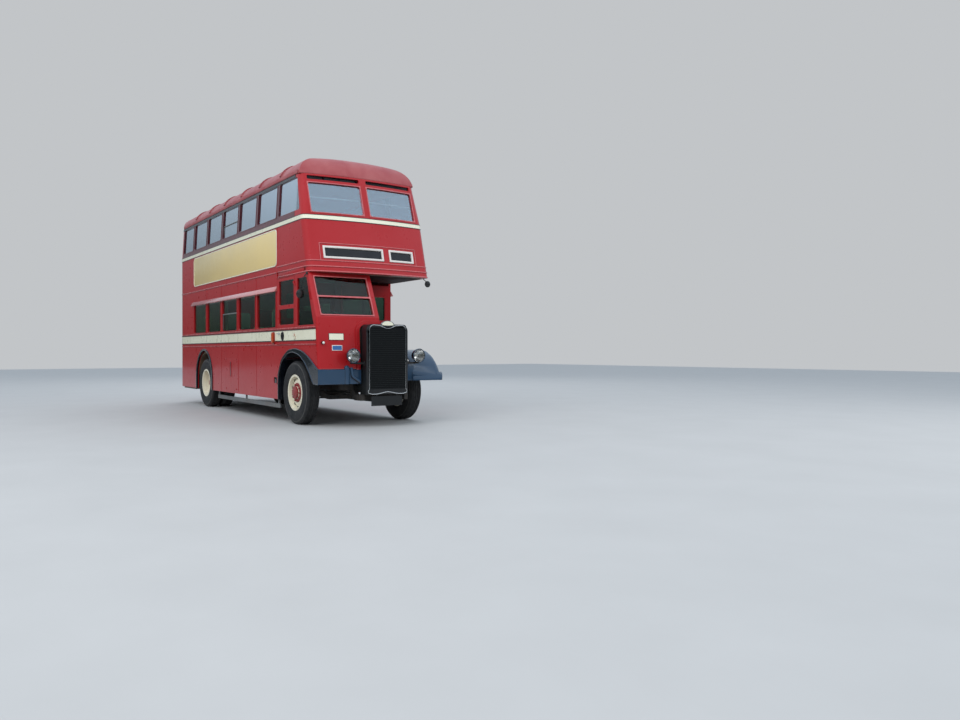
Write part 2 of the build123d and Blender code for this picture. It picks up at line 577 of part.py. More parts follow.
# Chassis frame
rail_y = (370, 440)
rail_top = lower_floor_z - floor_thickness
rail_bottom = rail_top - 190
frame_rear_x = rear_x + 150
drop_x = rear_bulkhead_x + 330  # the main rails end here, and the low platform frame joins them
rail_line = [(drop_x, rail_bottom), (rear_axle_x - 450, rail_bottom), (rear_axle_x - 300, rail_top - 50),
             (rear_axle_x + 300, rail_top - 50), (rear_axle_x + 450, rail_bottom), (front_axle_x - 900, rail_bottom),
             (front_axle_x - 700, 560), (front_axle_x + 700, 560), (front_axle_x + 900, 430), (bonnet_front_x + 120, 430),
             (bonnet_front_x + 120, radiator_z[0]), (front_axle_x + 930, radiator_z[0]), (front_axle_x + 800, rail_top),
             (drop_x, rail_top)]
rail = prism_xz(rail_line, rail_y[0], rail_y[1])
frame = rail + mirrored(rail)
for x, z in ((rear_axle_x - 520, (600, 690)), (rear_axle_x + 700, (600, 690)), (front_axle_x - 2600, (600, 690)),
             (front_axle_x - 1420, (600, 690)), (bonnet_front_x - 20, (440, radiator_z[0]))):
    frame += box((x - 40, x + 40), (-rail_y[0], rail_y[0]), z)
tow_x = bonnet_front_x + 85
tow_y = (rail_y[0] + rail_y[1]) / 2
tow_radius = 16
for sign in (-1, 1):
    frame -= Pos(tow_x, sign * tow_y, radiator_z[0] - 50) * Cylinder(tow_radius, 200)
keep("chassis_frame", frame)
drop_line = [(frame_rear_x, 300), (rear_bulkhead_x + 60, 300), (drop_x, rail_bottom), (drop_x, rail_top - 40),
             (rear_bulkhead_x + 45, platform_z - 45), (frame_rear_x, platform_z - 45)]
drop = prism_xz(drop_line, rail_y[0], rail_y[1])
platform_frame = drop + mirrored(drop)
for x in (frame_rear_x + 60, rear_bulkhead_x - 60):
    platform_frame += box((x - 30, x + 30), (-rail_y[0], rail_y[0]), (300, platform_z - 45))
keep("platform_frame", platform_frame)

# Axles
track_half = half_width - 163
tyre_width = 250
kingpin_half = track_half - 180
king_pin_radius = 18
bearing_gap = 0.05
axle_z = tyre_radius
beam_half = [(kingpin_half - 330, 400), (kingpin_half - 160, 455), (kingpin_half - 100, 490), (kingpin_half, 490),
             (kingpin_half, 570), (kingpin_half - 110, 570), (kingpin_half - 190, 525), (kingpin_half - 340, 470)]
beam = prism_yz(beam_half + [(-y, z) for y, z in reversed(beam_half)], front_axle_x - 45, front_axle_x + 45)
for sign in (-1, 1):
    beam += Pos(front_axle_x, sign * kingpin_half, 530) * Cylinder(45, 80)
    beam -= Pos(front_axle_x, sign * kingpin_half, 530) * Cylinder(king_pin_radius + bearing_gap, 400)
keep("front_axle", beam)

rear_outer_y = half_width - 153
rear_inner_y = rear_outer_y - 290
stub_radius = 60
casing_tube = cylinder_y(rear_axle_x, (-rear_inner_y + 100, rear_inner_y - 100), axle_z, 75)
casing_y = -120
nose_x = rear_axle_x + 240
casing_ball = Pos(rear_axle_x, casing_y, axle_z) * Sphere(165) + rod((rear_axle_x, casing_y, axle_z), (nose_x, casing_y, axle_z), 62)
stub_reach = rear_outer_y - 200
stub = cylinder_y(rear_axle_x, (-stub_reach, stub_reach), axle_z, stub_radius)
keep("rear_axle", casing_tube + casing_ball + stub)

# Knuckles: a fork round the beam's end, a spindle and a steering arm to the track rod below
steering_arm = 210
spindle_radius = 38
ear_z = ((461, 489), (571, 599))
arm_z = (433, 461)
eye_z = (402, 432)
stud_radius = 10
for sign, side in ((-1, "offside"), (1, "nearside")):
    pin_y = sign * kingpin_half
    knuckle = box((front_axle_x - 38, front_axle_x + 38), sorted((pin_y + sign * 52, pin_y + sign * 80)), (ear_z[0][0], ear_z[1][1]))
    for z in ear_z:
        knuckle += box((front_axle_x - 38, front_axle_x + 38), sorted((pin_y, pin_y + sign * 80)), z)
        knuckle += Pos(front_axle_x, pin_y, (z[0] + z[1]) / 2) * Cylinder(38, z[1] - z[0])
    knuckle += Pos(front_axle_x, pin_y, (ear_z[0][0] + ear_z[1][1]) / 2) * Cylinder(king_pin_radius, ear_z[1][1] - ear_z[0][0])
    knuckle += cylinder_y(front_axle_x, sorted((pin_y + sign * 70, sign * (track_half + 60))), axle_z, spindle_radius)
    knuckle += box((front_axle_x - steering_arm - 24, front_axle_x + 30), (pin_y - 20, pin_y + 20), arm_z)
    knuckle += Pos(front_axle_x - steering_arm, pin_y, (arm_z[1] + eye_z[0]) / 2) * Cylinder(stud_radius, arm_z[1] - eye_z[0])
    keep(f"knuckle_{side}", knuckle)
rod_z = (eye_z[0] + eye_z[1]) / 2
track_rod = rod((front_axle_x - steering_arm, -kingpin_half + 18, rod_z), (front_axle_x - steering_arm, kingpin_half - 18, rod_z), 13)
for sign, clearance in ((-1, bearing_gap), (1, 2)):
    eye = Pos(front_axle_x - steering_arm, sign * kingpin_half, rod_z) * (
        Cylinder(24, eye_z[1] - eye_z[0]) - Cylinder(stud_radius + clearance, 100))
    track_rod += eye
keep("track_rod", track_rod)

# Wheels and tyres
rim_radius = 315


def tyre(y):
    half = tyre_width / 2
    section = [(y - half + 20, rim_radius - 20), (y - half, rim_radius + 60), (y - half + 12, tyre_radius - 40),
               (y - half + 45, tyre_radius), (y + half - 45, tyre_radius), (y + half - 12, tyre_radius - 40),
               (y + half, rim_radius + 60), (y + half - 20, rim_radius - 20)]
    face = make_face(Polyline(*[(0, a, r) for a, r in section], close=True))
    return revolve(face, axis=Axis.Y)


def disc(y, sign, dish):
    """Rim, dished disc and hub. sign points outward, dish is how far the disc stands out from the tyre's middle."""
    half = tyre_width / 2 - 15
    section = [(-half, rim_radius - 21), (half, rim_radius - 21), (half, rim_radius - 45), (dish + 40, rim_radius - 60),
               (dish + 70, 190), (dish + 60, 110), (dish + 120, 100), (dish + 120, 0), (dish - 20, 0), (dish - 20, 110),
               (dish + 45, 190), (dish + 15, rim_radius - 60), (-half, rim_radius - 45)]
    face = make_face(Polyline(*[(0, y + sign * a, r) for a, r in section], close=True))
    wheel = revolve(face, axis=Axis.Y)
    for i in range(10):
        hole = Rot(0, 36 * i, 0) * (Pos(235, y + sign * (dish + 30), 0) * Rot(90, 0, 0) * Cylinder(24, 200))
        wheel -= hole
    return wheel


for sign, side in ((-1, "offside"), (1, "nearside")):
    front_place = Pos(front_axle_x, 0, axle_z)
    rear_place = Pos(rear_axle_x, 0, axle_z)
    keep(f"tyre_front_{side}", front_place * tyre(sign * track_half))
    front_disc = disc(sign * track_half, sign, 0)
    front_disc += Pos(0, sign * (track_half - 58), 0) * Rot(90, 0, 0) * Cylinder(215, 76)
    front_disc -= Pos(0, sign * (track_half - 469), 0) * Rot(90, 0, 0) * Cylinder(spindle_radius + bearing_gap, 1060)
    keep(f"wheel_front_{side}", front_place * front_disc)
    keep(f"tyres_rear_{side}", rear_place * tyre(sign * rear_outer_y), rear_place * tyre(sign * rear_inner_y))
    inner = revolve(make_face(Polyline(*[(0, sign * rear_inner_y + a, r) for a, r in
                                         ((-110, rim_radius - 21), (110, rim_radius - 21), (110, rim_radius - 45), (-110, rim_radius - 45))], close=True)), axis=Axis.Y)
    outer = disc(sign * rear_outer_y, sign, -110)
    drum = Pos(0, sign * (rear_inner_y + rear_outer_y) / 2 - sign * 60, 0) * Rot(90, 0, 0) * Cylinder(rim_radius - 45, 160)
    rear_wheel = inner + outer + drum
    rear_wheel -= Pos(0, sign * (stub_reach - 499), 0) * Rot(90, 0, 0) * Cylinder(stub_radius + bearing_gap, 1000)
    keep(f"wheels_rear_{side}", rear_place * rear_wheel)

# Wings: sheets over the front wheels with a broad rim in the side plane, swept forward to the radiator
wing_inner = [(-570, skirt_z), (-570, 800), (-420, 1050), (-150, 1190), (60, 1215), (330, 1165), (560, 1040), (760, 850),
              (880, 700)]
wing_proud = 17
wing_sheet = 20
lock_clear_y = kingpin_half + 145  # the rear wall stops here, clear of the tyre on any lock


def wing(inner_y):
    outer = [(front_axle_x + x, z) for x, z in wing_outer] + [(apron_x[1], apron_z[1]), (apron_x[1], apron_z[0])]
    inner = [(front_axle_x + x, z) for x, z in wing_inner]
    rim = prism_xz(outer + inner[::-1], -half_width - wing_proud, -inner_half - 2)
    sheet = prism_xz(outer + [(apron_x[1] - wing_sheet, apron_z[0]), (apron_x[1] - wing_sheet, apron_z[1] - 20)]
                     + [(front_axle_x + x + (wing_sheet if x < 0 else -10), z - wing_sheet) for x, z in wing_outer[:0:-1]]
                     + [(front_axle_x - front_arch_back + wing_sheet, skirt_z)], -half_width, inner_y)
    sheet -= box((front_axle_x - front_arch_back - 1, front_axle_x - front_arch_back + 30), (-lock_clear_y, 0), (0, arch_shoulder_z + 30))
    return rim + sheet


offside_wing = wing(wing_inner_y)
offside_apron = box(apron_x, (wing_inner_y, -radiator_half - 15), apron_z)
# Its front end rolls round beside the headlamp, and a curved stay runs from there to the frame
roll_radius = 48
roll_y = wing_inner_y + 40
offside_apron += Pos(apron_x[0], roll_y, (apron_z[0] + apron_z[1] + 20) / 2) * Cylinder(roll_radius, apron_z[1] + 20 - apron_z[0])
offside_apron += Pos(apron_x[0], roll_y, apron_z[1] + 20) * Sphere(roll_radius)
stay_points = [(apron_x[0] + 5, roll_y + 75, apron_z[1] + 30), (apron_x[0] + 30, roll_y + 90, 820), (apron_x[0] + 35, -radiator_half - 45, 735)]
offside_apron += bent_rod(stay_points, 60, 30)
keep("wing_offside", offside_wing + offside_apron - cab_front_panel)

# The nearside wing is a domed mudguard that stands clear of the bonnet, with a flat lip across its front
nearside_inner_y = half_width - 583
dome_radius = 150
dome_reach = 1082
dome_sheet = 20
lip_z = (735, 815)


def dome_block(inset, y0, y1, radius, foot_z):
    """All that lies under the domed wing's outer line, its outer shoulder rounded."""
    x0 = front_axle_x - front_arch_back + inset
    x1 = front_axle_x + dome_reach - inset
    start = (x0, y0, 700)
    crown = (front_axle_x + 60, y0, 1262 - inset)
    rise = Line((x0, y0, foot_z), start)
    back = TangentArc(start, crown, tangent=(0, 0, 1))
    front = TangentArc(crown, (x1, y0, lip_z[1] + 20), tangent=back % 1)
    rest = Polyline(front @ 1, (x1, y0, foot_z), (x0, y0, foot_z))
    block = extrude(make_face([rise, back, front, rest]), amount=y1 - y0, dir=(0, 1, 0))
    outer = [e for e in block.edges() if abs(e.center().Y - y1) < 1 and e.bounding_box().size.Z > 20]
    return fillet(outer, radius)


dome_outer_y = half_width + wing_proud
dome = dome_block(0, nearside_inner_y, dome_outer_y, dome_radius, skirt_z)
hollow = dome_block(dome_sheet, nearside_inner_y - 1, dome_outer_y - dome_sheet, dome_radius - dome_sheet, skirt_z - 1)
nearside_wing = dome - hollow
opening = [(front_axle_x + x, z) for x, z in wing_inner]
nearside_wing -= prism_xz(opening + [(front_axle_x + 1200, 700), (front_axle_x + 1200, 0), (front_axle_x - 570, 0)],
                          inner_half - 30, half_width + 100)
nearside_wing -= box((front_axle_x + 500, half_length), (0, half_width + 100), (0, lip_z[0]))
nearside_wing -= box((front_axle_x - front_arch_back - 1, front_axle_x - 500), (0, lock_clear_y), (0, 800))
lip = box((front_axle_x + dome_reach - 60, front_axle_x + dome_reach + 14), (nearside_inner_y, dome_outer_y + 4), lip_z)
lip = fillet(lip.edges().filter_by(Axis.Z).group_by(Axis.X)[-1].sort_by(Axis.Y)[-1], 50)
nearside_wing += lip - dome_block(10, nearside_inner_y - 1, dome_outer_y - 10, dome_radius - 10, skirt_z - 2)
shelf_z = (1090, 1108)
shelf_x = (bulkhead_x + wall + 25, apron_x[0] - 200)
side_wall = dome_block(4, nearside_inner_y, nearside_inner_y + 400, 100, skirt_z)
side_wall &= box(shelf_x, (nearside_inner_y, nearside_inner_y + 18), (shelf_z[0], 1300))
nearside_wing += side_wall + box(shelf_x, (bonnet_half, nearside_inner_y + 18), shelf_z)
nearside_wing += box(apron_x, (radiator_half + 15, nearside_inner_y + 30), (lip_z[0], apron_z[1]))
keep("wing_nearside", nearside_wing)

# Leaf springs under the frame, stepped leaves with an eye and hanger at each end
leaf_count = 6


def leaf_spring(x, y, top_z, reach, hanger_top, leaf, width, camber):
    """A pack of leaves whose middle is flat on the axle, seen along Y."""
    pack = []
    for i in range(leaf_count):
        half = reach - i * reach / (leaf_count + 1)
        rise = camber * (half / reach) ** 2
        z = top_z - leaf * i
        upper = ThreePointArc((x - half, 0, z + rise), (x, 0, z), (x + half, 0, z + rise))
        lower = ThreePointArc((x + half, 0, z + rise - leaf), (x, 0, z - leaf), (x - half, 0, z + rise - leaf))
        ends = [Line(upper @ 1, lower @ 0), Line(lower @ 1, upper @ 0)]
        pack.append(extrude(Pos(0, y - width / 2, 0) * make_face([upper, ends[0], lower, ends[1]]), amount=width, dir=(0, 1, 0)))
    spring = pack[0]
    for leaf_solid in pack[1:]:
        spring += leaf_solid
    for end in (-1, 1):
        eye_x = x + end * reach
        spring += cylinder_y(eye_x, (y - width / 2, y + width / 2), top_z + camber - leaf / 2, 20)
        spring += box((eye_x - 18, eye_x + 18), (y - width / 2, y + width / 2), (top_z + camber, hanger_top))
    return spring


front_spring_y = (rail_y[0] + rail_y[1]) / 2
rear_spring_y = rear_inner_y - 205
springs = []
for sign in (-1, 1):
    springs.append(leaf_spring(front_axle_x, sign * front_spring_y, 530, 620, 560, 10, 60, 14))
    rear = leaf_spring(rear_axle_x, sign * rear_spring_y, axle_z + 75 + 60, 680, 690, 10, 50, 12)
    rear += box((rear_axle_x - 698, rear_axle_x - 662), sorted((sign * rail_y[1], sign * (rear_spring_y + 20))), (640, 690))
    rear += box((rear_axle_x + 662, rear_axle_x + 698), sorted((sign * rail_y[1], sign * (rear_spring_y + 20))), (640, 690))
    springs.append(rear)
keep("leaf_springs", *springs)

# Engine, gearbox and propeller shaft
engine_half = 330
engine_x = (front_axle_x - 600, front_axle_x + 780)
engine_z = (560, 1500)
engine = box(engine_x, (-engine_half, engine_half), engine_z)
for x in (front_axle_x - 450, front_axle_x + 450):
    engine += box((x - 50, x + 50), (-rail_y[0], rail_y[0]), (580, 640))
keep("engine", engine)
gearbox_rear_x = front_axle_x - 1300
shaft_start = (gearbox_rear_x, 0, 530)
shaft_end = (nose_x + 3, casing_y, axle_z)
gearbox = box((gearbox_rear_x, engine_x[0]), (-170, 170), (400, 690))
shaft = rod(shaft_start, shaft_end, 42)
keep("transmission", gearbox + shaft)

# Fuel tank on the offside, exhaust on the nearside
tank_x = (front_axle_x - 0.7067 * wheelbase, front_axle_x - 0.4644 * wheelbase)
tank = box(tank_x, (-inner_half + 48, -rail_y[1]), (420, 680))
tank = fillet(tank.edges().filter_by(Axis.X), 60)
keep("fuel_tank", tank)
pipe_z = 460
silencer_x = (front_axle_x - 0.535 * wheelbase, front_axle_x - 0.333 * wheelbase)
silencer_y = 640
pipe = bent_rod([(front_axle_x - 400, 250, engine_z[0]), (front_axle_x - 400, 250, pipe_z), (front_axle_x - 800, 250, pipe_z),
                 (front_axle_x - 1150, silencer_y, pipe_z + 40), (silencer_x[1] - 10, silencer_y, pipe_z + 40)], 60, 28)
silencer = Pos((silencer_x[0] + silencer_x[1]) / 2, silencer_y, pipe_z + 40) * Rot(0, 90, 0) * Cylinder(90, silencer_x[1] - silencer_x[0])
tail = bent_rod([(silencer_x[0] + 10, silencer_y, pipe_z + 40), (silencer_x[0] - 0.242 * wheelbase, silencer_y, pipe_z + 40),
                 (silencer_x[0] - 0.283 * wheelbase, silencer_y + 150, pipe_z - 20)], 80, 28)
exhaust = pipe + silencer + tail
for x in (silencer_x[0] + 150, silencer_x[1] - 150):
    exhaust += box((x - 20, x + 20), (rail_y[1], silencer_y - 50), (560, 590))
keep("exhaust", exhaust)

# Lifeguard rails between the axles
guard_y = inner_half - 13
guard_z = (235, 310)
guard_x = (rear_axle_x + 853, front_axle_x - 640)
guards = []
for sign in (-1, 1):
    rail_bar = box(guard_x, sorted((sign * (guard_y - 12), sign * (guard_y + 12))), guard_z)
    for x in (guard_x[0] + 60, sum(guard_x) / 2, guard_x[1] - 60):
        rail_bar += box((x - 20, x + 20), sorted((sign * (guard_y - 12), sign * (guard_y + 12))), (guard_z[0], rail_top))
    guards.append(rail_bar)
keep("lifeguard_rails", *guards)

# Staircase: a helical flight from the platform round the offside rear corner to the upper deck
newel = (rear_x + 710, -inner_half + 678)
stair_radius = 625
newel_radius = 70
step_count = 9
step_rise = (deck_z - platform_z) / step_count
first_angle = 165
step_angle = 18.4
stairs = None
for i in range(step_count - 1):
    a0 = math.radians(first_angle + step_angle * i)
    a1 = math.radians(first_angle + step_angle * (i + 1))
    top = platform_z + step_rise * (i + 1)
    low = max(platform_z, top - step_rise - 50)
    middle = (a0 + a1) / 2
    corners = [(newel[0] + newel_radius * math.cos(a0), newel[1] + newel_radius * math.sin(a0)),
               (newel[0] + stair_radius * math.cos(a0), newel[1] + stair_radius * math.sin(a0)),
               (newel[0] + stair_radius * 1.01 * math.cos(middle), newel[1] + stair_radius * 1.01 * math.sin(middle)),
               (newel[0] + stair_radius * math.cos(a1), newel[1] + stair_radius * math.sin(a1)),
               (newel[0] + newel_radius * math.cos(a1), newel[1] + newel_radius * math.sin(a1))]
    tread = extrude(make_face(Polyline(*[(x, y, low) for x, y in corners], close=True)), amount=top - low, dir=(0, 0, 1))
    stairs = tread if stairs is None else stairs + tread
stairs += Pos(newel[0], newel[1], (platform_z + deck_z + 850) / 2) * Cylinder(newel_radius, deck_z + 850 - platform_z)
keep("staircase", stairs)

# Seats: double seats in rows, each on its own frame, and a bench over each wheel box
seat_width = 860
seat_depth = 420
seat_rise = 440
cushion = 110
back_rise = 470


def seat_pad(x, y0, floor_z):
    top = floor_z + seat_rise
    line = [(x, top - cushion), (x + seat_depth, top - cushion), (x + seat_depth, top), (x + 85, top),
            (x + 30, top + back_rise), (x - 50, top + back_rise), (x, top - cushion + 5)]
    return prism_xz(line, y0, y0 + seat_width)


def seat_frame(x, y0, floor_z):
    """Two plates across the bus, which hold a seat up."""
    under = floor_z + seat_rise - cushion
    return [box((plate_x, plate_x + 18), (y0 + 40, y0 + seat_width - 40), (floor_z, under)) for plate_x in
            (x + 60, x + seat_depth - 78)]


seat_ys = (-inner_half + 20, inner_half - 20 - seat_width)
lower_pitch = (bulkhead_x - rear_bulkhead_x - 1625) / 5
upper_pitch = (overall_length - 2420) / 8
lower_rows = [bulkhead_x - 700 - lower_pitch * i for i in range(5)]
upper_rows = [front_axle_x - 290 - upper_pitch * i for i in range(8)]
lower_pads = [seat_pad(x, y, lower_floor_z) for x in lower_rows for y in seat_ys]
upper_pads = [seat_pad(x, y, deck_z) for x in upper_rows for y in seat_ys]
upper_pads.append(seat_pad(upper_rows[-1] - upper_pitch, seat_ys[1], deck_z))
for sign in (-1, 1):
    bench_y = (inner_half - 20, wheel_box_inner + 60)
    bench = [(bench_y[0], wheel_box_top), (bench_y[1], wheel_box_top), (bench_y[1], wheel_box_top + 80),
             (bench_y[0] - 80, wheel_box_top + 80), (bench_y[0] - 40, wheel_box_top + 400), (bench_y[0], wheel_box_top + 400)]
    lower_pads.append(prism_yz([(sign * y, z) for y, z in bench], rear_axle_x - 560, rear_axle_x + 560))
keep("lower_seats", *lower_pads)
keep("upper_seats", *upper_pads)
frames = []
for x in lower_rows:
    for y in seat_ys:
        frames += seat_frame(x, y, lower_floor_z)
for x in upper_rows:
    for y in seat_ys:
        frames += seat_frame(x, y, deck_z)
frames += seat_frame(upper_rows[-1] - upper_pitch, seat_ys[1], deck_z)
keep("seat_frames", *frames)

# Driver's place: seat on its box, steering column and wheel
driver_seat = box((front_axle_x - 380, front_axle_x + 40), (driver_y - 220, driver_y + 220), (1400, 1500))
driver_seat += box((front_axle_x - 460, front_axle_x - 380), (driver_y - 220, driver_y + 220), (1400, 1960))
seat_box = box((front_axle_x - 340, front_axle_x), (driver_y + 20, driver_y + 200), (cab_floor_z, 1400))
keep("driver_seat", driver_seat)
keep("driver_seat_box", seat_box)
lean_vector = Vector(*wheel_centre) - Vector(*column_foot)
wheel_axis = lean_vector.normalized()
wheel_plane = Plane(wheel_centre, z_dir=wheel_axis)
rim_ring = wheel_plane * Torus(225, 14)
hub_disc = wheel_plane * (Pos(0, 0, -15) * Cylinder(38, 40))
spokes = [wheel_plane * Rot(0, 0, 90 * i) * (Pos(120, 0, 0) * Box(200, 22, 10)) for i in range(4)]
steering_wheel = rim_ring + hub_disc
for spoke in spokes:
    steering_wheel += spoke
keep("steering_wheel", steering_wheel)
column_top = Vector(*wheel_centre) - wheel_axis * 35.3
column = rod(column_foot, tuple(column_top), column_radius)
steering_box = box((column_foot[0] - 70, column_foot[0] + 70), (column_foot[1] - 60, -rail_y[1]), (600, 740))
keep("steering_column", column + steering_box)

# Glass in the saloons: one thin pane in each opening
def lean_sheet(sign):
    y0, y1 = half_width - 20, half_width - 20 - glass_thickness
    line = [(sign * y0, upper_waist_z), (sign * (y0 - side_lean), gutter_z), (sign * (y1 - side_lean), gutter_z),
            (sign * y1, upper_waist_z)]
    return prism_yz(line, rear_x, half_length)


panes = []
for sign in (-1, 1):
    pane_y = sorted((sign * (half_width - 20), sign * (half_width - 20 - glass_thickness)))
    panes += [window_xz(x, lower_window_z, pane_y, glass_gap) for x in bays]
    sheet = lean_sheet(sign)
    across = sorted((sign * 1000, sign * 1150))
    panes += [sheet & window_xz(x, upper_window_z, across, glass_gap) for x in upper_windows]
    panes.append(sheet & front_quarter_block(*across, shrink=glass_gap))
panes.append(window_yz(rear_window["y"], rear_window["z"], (rear_x + 20, rear_x + 20 + glass_thickness), glass_gap, corner=80))
for y in bulkhead_windows:
    panes.append(window_yz(y, bulkhead_window_z, (bulkhead_x + 20, bulkhead_x + 26), glass_gap))
panes.append(window_yz(rear_bulkhead_window["y"], rear_bulkhead_window["z"], (rear_bulkhead_x + 20, rear_bulkhead_x + 26), glass_gap))
bow_sheet = front_zone(26, canopy_z, gutter_z) - front_zone(20, canopy_z, gutter_z)
for y in front_windows:
    panes.append(bow_sheet & window_yz(y, front_glass_z, front_reach_x, glass_gap))
keep("saloon_glass", *panes)

# Cab glass
screen_sheet = prism_xz([(x - 20, z) for x, z in cab_front_line[:2]] + [(x - 26, z) for x, z in cab_front_line[1::-1]],
                        -half_width, 0)
cab_panes = [screen_sheet & window_yz(windscreen["y"], z, windscreen_reach, glass_gap, corner=25)
             for z in ((windscreen["z"][0], windscreen_bar_z[0]), (windscreen_bar_z[1], windscreen["z"][1]))]
cab_panes.append(prism_xz(quarter_glass, -half_width + 20, -half_width + 26))
cab_panes.append(prism_xz(inner_glass, cab_inner_y - 18, cab_inner_y - 12))
keep("cab_glass", *cab_panes)

# Headlamps on stalks from the radiator's sides
lamp_y = half_width - 533
lamp_z = 1150
lamp_front_x = half_length - 10
lamps = []
for sign in (-1, 1):
    profile = Polyline((0, 0), (0, 100), (-12, 117), (-60, 117), (-120, 90), (-165, 45), (-180, 0), close=True)
    shell = revolve(make_face(profile), axis=Axis.X)
    lamp = Pos(lamp_front_x, sign * lamp_y, lamp_z) * shell
    lamp += box((lamp_front_x - 90, lamp_front_x - 60), sorted((sign * radiator_half, sign * lamp_y)), (lamp_z - 130, lamp_z - 100))
    lamp += box((lamp_front_x - 90, lamp_front_x - 60), sorted((sign * (lamp_y - 15), sign * (lamp_y + 15))), (lamp_z - 130, lamp_z - 60))
    lamps.append(lamp)
keep("headlamps", *lamps)

# Mirrors on arms from the front corners
mirrors = []
for sign, base, head in ((-1, (front_axle_x + 655, -half_width, 2330), (front_axle_x + 760, -half_width - 127, 2160)),
                         (1, (front_axle_x + 545, half_width - 2, deck_z), (front_axle_x + 860, half_width + 127, 2440))):
    arm = rod(base, head, 9)
    plate = Pos(*head) * Box(18, 90, 190)
    mirrors.append(arm + plate - box((bulkhead_x, half_length), (-half_width, half_width), (0, roof_z)))
keep("mirrors", *mirrors)

# Grab poles: the platform pole, rails across the upper front windows and a guard round the stairwell
pole_x = rear_wall_x + 170
poles = [Pos(pole_x, inner_half - 30, (platform_z + deck_z - floor_thickness) / 2) * Cylinder(17, deck_z - floor_thickness - platform_z)]
rail_z = 3765
front_lean = (front_waist_reach - front_gutter_reach) / (gutter_z - upper_waist_z)
rail_mid_x = front_axle_x + front_waist_reach - front_lean * (rail_z - upper_waist_z) - wall - 25
rail_half = half_width - 130 - glass_gap
rail_radius = 10
rail_bow = rail_mid_x - bow_axis_x
rail_turn = math.degrees(math.asin(rail_half / (rail_bow + rail_radius)))
bow_axis = Axis((bow_axis_x, 0, 0), (0, 0, 1))
bar = revolve(Plane((rail_mid_x, 0, rail_z), z_dir=(0, 1, 0)) * Circle(rail_radius), axis=bow_axis, revolution_arc=2 * rail_turn)
poles.append(bar.rotate(bow_axis, -rail_turn))
guard_points = [(stair_well["x"][0] + 60, stair_well["y"][1] + 40, deck_z), (stair_well["x"][0] + 60, stair_well["y"][1] + 40, deck_z + 850),
                (stair_well["x"][1] + 60, stair_well["y"][1] + 40, deck_z + 850), (stair_well["x"][1] + 60, stair_well["y"][1] + 40, deck_z)]
poles.append(bent_rod(guard_points, 80, 15))
keep("grab_poles", *poles)

# Number plates
front_plate = box((half_length - 35, half_length - 30), (-285, 285), (345, 500))
front_plate += box((half_length - 60, half_length - 35), (-200, -170), (400, 530))
front_plate += box((half_length - 60, half_length - 35), (170, 200), (400, 530))
keep("number_plate", front_plate)

for name, shape in nodes.items():
    export_step(shape, f"parts/{name}.step")
print(len(nodes), "nodes")
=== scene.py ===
# A half-cab double-decker bus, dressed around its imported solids.
# Metres, +X forward, +Y to the nearside, +Z up, the ground at zero.
import json
import math

import bpy
from mathutils import Matrix, Vector

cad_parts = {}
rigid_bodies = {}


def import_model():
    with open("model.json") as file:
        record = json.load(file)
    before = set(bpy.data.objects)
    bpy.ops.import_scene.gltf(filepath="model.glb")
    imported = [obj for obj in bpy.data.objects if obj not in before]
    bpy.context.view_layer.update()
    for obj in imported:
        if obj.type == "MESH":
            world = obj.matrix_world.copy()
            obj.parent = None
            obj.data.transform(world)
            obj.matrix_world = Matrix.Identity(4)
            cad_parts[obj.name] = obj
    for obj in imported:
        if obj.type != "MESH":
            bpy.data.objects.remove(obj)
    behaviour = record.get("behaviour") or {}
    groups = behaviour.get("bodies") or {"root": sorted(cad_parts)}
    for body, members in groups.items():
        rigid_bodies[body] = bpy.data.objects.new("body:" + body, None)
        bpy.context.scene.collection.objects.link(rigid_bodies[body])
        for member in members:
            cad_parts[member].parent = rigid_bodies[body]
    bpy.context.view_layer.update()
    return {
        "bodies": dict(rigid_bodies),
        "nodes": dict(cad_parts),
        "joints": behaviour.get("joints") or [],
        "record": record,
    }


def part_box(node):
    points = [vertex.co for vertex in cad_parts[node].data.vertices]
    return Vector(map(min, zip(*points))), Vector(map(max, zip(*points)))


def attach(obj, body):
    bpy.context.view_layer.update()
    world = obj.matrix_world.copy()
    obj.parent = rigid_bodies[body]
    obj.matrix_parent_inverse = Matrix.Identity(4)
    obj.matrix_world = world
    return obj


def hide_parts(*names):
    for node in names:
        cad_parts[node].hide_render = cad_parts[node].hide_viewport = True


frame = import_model()
nodes = frame["nodes"]
print("frame loaded:", len(nodes), "nodes")

# Places that several pieces share
frontAxle, rearAxle, axleHeight = 2.870, -2.083, 0.530
lowerGlassFoot, upperGlassFoot, lowerGlassHead = 1.640, 3.550, 2.262
upperZone = (3.456, 4.112)
sidePairs = (("Offside", -1), ("Nearside", 1))

# The photograph's camera, in metres, radians and pixels of a 960 x 720 picture
cameraSpot = {"place": (14.8463, -6.1915, 1.2126), "yaw": 0.5461, "pitch": -0.0034, "roll": -0.0005,
              "focal": 770.495, "centre": (406.188, 354.405), "picture": (960, 720)}


def addCamera(spot):
    forward = Vector((-math.cos(spot["yaw"]) * math.cos(spot["pitch"]),
                      math.sin(spot["yaw"]) * math.cos(spot["pitch"]), math.sin(spot["pitch"])))
    right = forward.cross(Vector((0, 0, 1))).normalized()
    up = right.cross(forward)
    rolledRight = right * math.cos(spot["roll"]) + up * math.sin(spot["roll"])
    rolledUp = up * math.cos(spot["roll"]) - right * math.sin(spot["roll"])
    turn = Matrix((rolledRight, rolledUp, -forward)).transposed()
    bpy.ops.object.camera_add(location=spot["place"], rotation=turn.to_euler())
    camera = bpy.context.object
    camera.name = "camera"
    wide, high = spot["picture"]
    camera.data.sensor_width = 36
    camera.data.lens = spot["focal"] / wide * 36
    camera.data.shift_x = (wide / 2 - spot["centre"][0]) / wide
    camera.data.shift_y = (spot["centre"][1] - high / 2) / wide
    camera.data.clip_end = 500
    bpy.context.scene.camera = camera


addCamera(cameraSpot)


